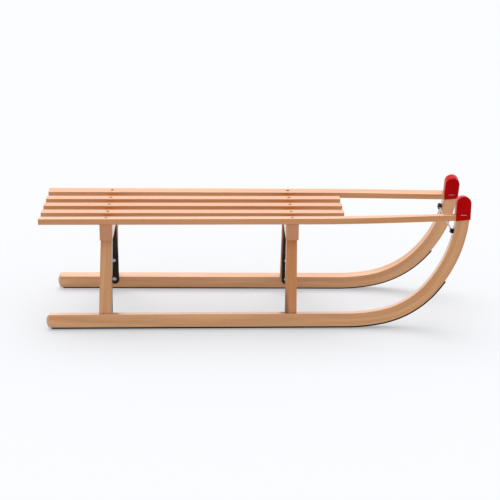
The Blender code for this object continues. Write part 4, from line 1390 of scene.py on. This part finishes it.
class TOBOGGAN_OT_seat(bpy.types.Operator):
    """Build the seat rails and slats"""

    bl_idname = "toboggan.seat"
    bl_label = "Seat"

    def execute(self, context):
        for name, side in SIDES.items():
            build_rail(name, side)
        pattern = build_slat_pattern()
        names = nodes_named("seat_slat_")
        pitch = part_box("seat_slat_left")[0].y - SLAT_LOW.y
        values = {
            "Slat": pattern, "Count": len(names), "Seed": 5, "Material": finish("satin_beech"),
            "Pitch": (0.0, pitch, 0.0), "First": (0.0, -pitch * (len(names) - 1) / 2, 0.0),
        }
        slats = run_tree("short_seat_slats", [(0, 0, 0)], slat_tree(), values)
        bpy.data.objects.remove(pattern, do_unlink=True)
        hand_over(slats, "varnished_beech", *names)
        return {"FINISHED"}


class TOBOGGAN_OT_ironwork(bpy.types.Operator):
    """Build the shoes, braces and tow bar"""

    bl_idname = "toboggan.ironwork"
    bl_label = "Ironwork"

    def execute(self, context):
        for name, side in SIDES.items():
            build_shoe(name, side)
            build_tow_block(name, side)
        for name in BRIDGES:
            build_brace(name)
        build_tow_bar()
        return {"FINISHED"}


class TOBOGGAN_OT_caps(bpy.types.Operator):
    """Build the horn caps and their staples"""

    bl_idname = "toboggan.caps"
    bl_label = "Horn caps"

    def execute(self, context):
        for name, side in SIDES.items():
            build_cap(name, side)
        build_staples(staple_tree())
        return {"FINISHED"}


class TOBOGGAN_OT_fasteners(bpy.types.Operator):
    """Build the screws and rivets"""

    bl_idname = "toboggan.fasteners"
    bl_label = "Screws and rivets"

    def execute(self, context):
        screws = screw_tree()
        build_seat_screws(screws)
        build_shoe_screws(screws)
        build_brace_fasteners(screws, rivet_tree())
        build_tow_screws(screws)
        return {"FINISHED"}


class TOBOGGAN_OT_stage(bpy.types.Operator):
    """Build the floor, the lights and the camera"""

    bl_idname = "toboggan.stage"
    bl_label = "Studio"

    def execute(self, context):
        build_floor()
        build_lights()
        build_camera()
        context.scene.view_settings.view_transform = "Standard"
        return {"FINISHED"}


def build_floor():
    """A wide pale floor that glows a little, as over a lit table."""
    half, height = FLOOR_HALF, FLOOR_Z
    corners = [(x, y, height) for x, y in ((-half, -half), (half, -half), (half, half), (-half, half))]
    mesh = bpy.data.meshes.new("floor")
    mesh.from_pydata(corners, [], [(0, 1, 2, 3)])
    mesh.materials.append(new_material("lit_acrylic", finishes().floor, 0.9, {
        "Specular IOR Level": 0.0, "Emission Color": linear(STUDIO_WHITE),
        "Emission Strength": bpy.context.scene.toboggan_studio.table,
    })[0])
    floor = add_object("floor", mesh)


def build_lights():
    """A white dome, darker low down on the camera's side, and a soft overhead light."""
    studio = bpy.context.scene.toboggan_studio
    world = bpy.data.worlds.new("white_dome")
    world.use_nodes = True
    tree = world.node_tree
    background = tree.nodes["Background"]
    background.inputs["Color"].default_value = linear(STUDIO_WHITE)
    way = add_node(tree, "ShaderNodeTexCoord", output="Generated")
    axes = add_node(tree, "ShaderNodeSeparateXYZ", {0: way}).node.outputs
    back = {0: axes["Y"], 1: 0.5, 2: axes["Z"]}
    back = add_node(tree, "ShaderNodeMath", back, operation="MULTIPLY_ADD")
    glow = {0: back, 1: -0.5, 2: 0.6, 3: studio.dome * DIM_SHARE, 4: studio.dome}
    tree.links.new(add_node(tree, "ShaderNodeMapRange", glow), background.inputs["Strength"])
    bpy.context.scene.world = world
    key = bpy.data.lights.new("overhead_key", "SUN")
    key.energy = studio.key
    key.angle = studio.key_spread
    add_object("overhead_key", key).matrix_world = frame_at(KEY_PLACE, KEY_WAY)


def build_camera():
    """The camera beside and above the sled, looking down at it."""
    studio = bpy.context.scene.toboggan_studio
    ahead = Vector((
        sin(studio.yaw) * cos(studio.pitch), cos(studio.yaw) * cos(studio.pitch), -sin(studio.pitch)
    ))
    right = Vector((cos(studio.yaw), -sin(studio.yaw), 0))
    up = right.cross(ahead)
    rolled_right = right * cos(studio.roll) + up * sin(studio.roll)
    rolled_up = up * cos(studio.roll) - right * sin(studio.roll)
    data = bpy.data.cameras.new("camera")
    data.sensor_width = 36.0
    data.lens = studio.lens
    camera = add_object("camera", data)
    turn = Matrix((rolled_right, rolled_up, -ahead)).transposed().to_4x4()
    place = Vector((studio.camera_x, studio.camera_y, studio.camera_z))
    camera.matrix_world = Matrix.Translation(place) @ turn
    bpy.context.scene.camera = camera


OPERATORS = (
    TOBOGGAN_OT_stage,
    TOBOGGAN_OT_runners,
    TOBOGGAN_OT_bridges,
    TOBOGGAN_OT_seat,
    TOBOGGAN_OT_ironwork,
    TOBOGGAN_OT_caps,
    TOBOGGAN_OT_fasteners,
)
GROUPS = {
    "toboggan_woodwork": TobogganWoodwork,
    "toboggan_hardware": TobogganHardware,
    "toboggan_finish": TobogganFinish,
    "toboggan_studio": TobogganStudio,
}


class TOBOGGAN_PT_panel(bpy.types.Panel):
    """Sizes, colours and build steps of the toboggan"""

    bl_idname = "TOBOGGAN_PT_panel"
    bl_label = "Toboggan"
    bl_space_type = "VIEW_3D"
    bl_region_type = "UI"
    bl_category = "Toboggan"

    def draw(self, context):
        layout = self.layout
        for operator in OPERATORS:
            layout.operator(operator.bl_idname)
        for label, group in GROUPS.items():
            column = layout.column(align=True)
            for item in group.__annotations__:
                column.prop(getattr(context.scene, label), item)


def register():
    """Register the classes and hang the settings on the scene."""
    for cls in (*GROUPS.values(), *OPERATORS, TOBOGGAN_PT_panel):
        bpy.utils.register_class(cls)
    for label, group in GROUPS.items():
        setattr(bpy.types.Scene, label, PointerProperty(type=group))


def unregister():
    """Take the settings and classes away again."""
    for label in GROUPS:
        delattr(bpy.types.Scene, label)
    for cls in reversed((*GROUPS.values(), *OPERATORS, TOBOGGAN_PT_panel)):
        bpy.utils.unregister_class(cls)


def main():
    """Build everything."""
    register()
    for operator in OPERATORS:
        group, name = operator.bl_idname.split(".")
        getattr(getattr(bpy.ops, group), name)()


if __name__ == "__main__":
    main()
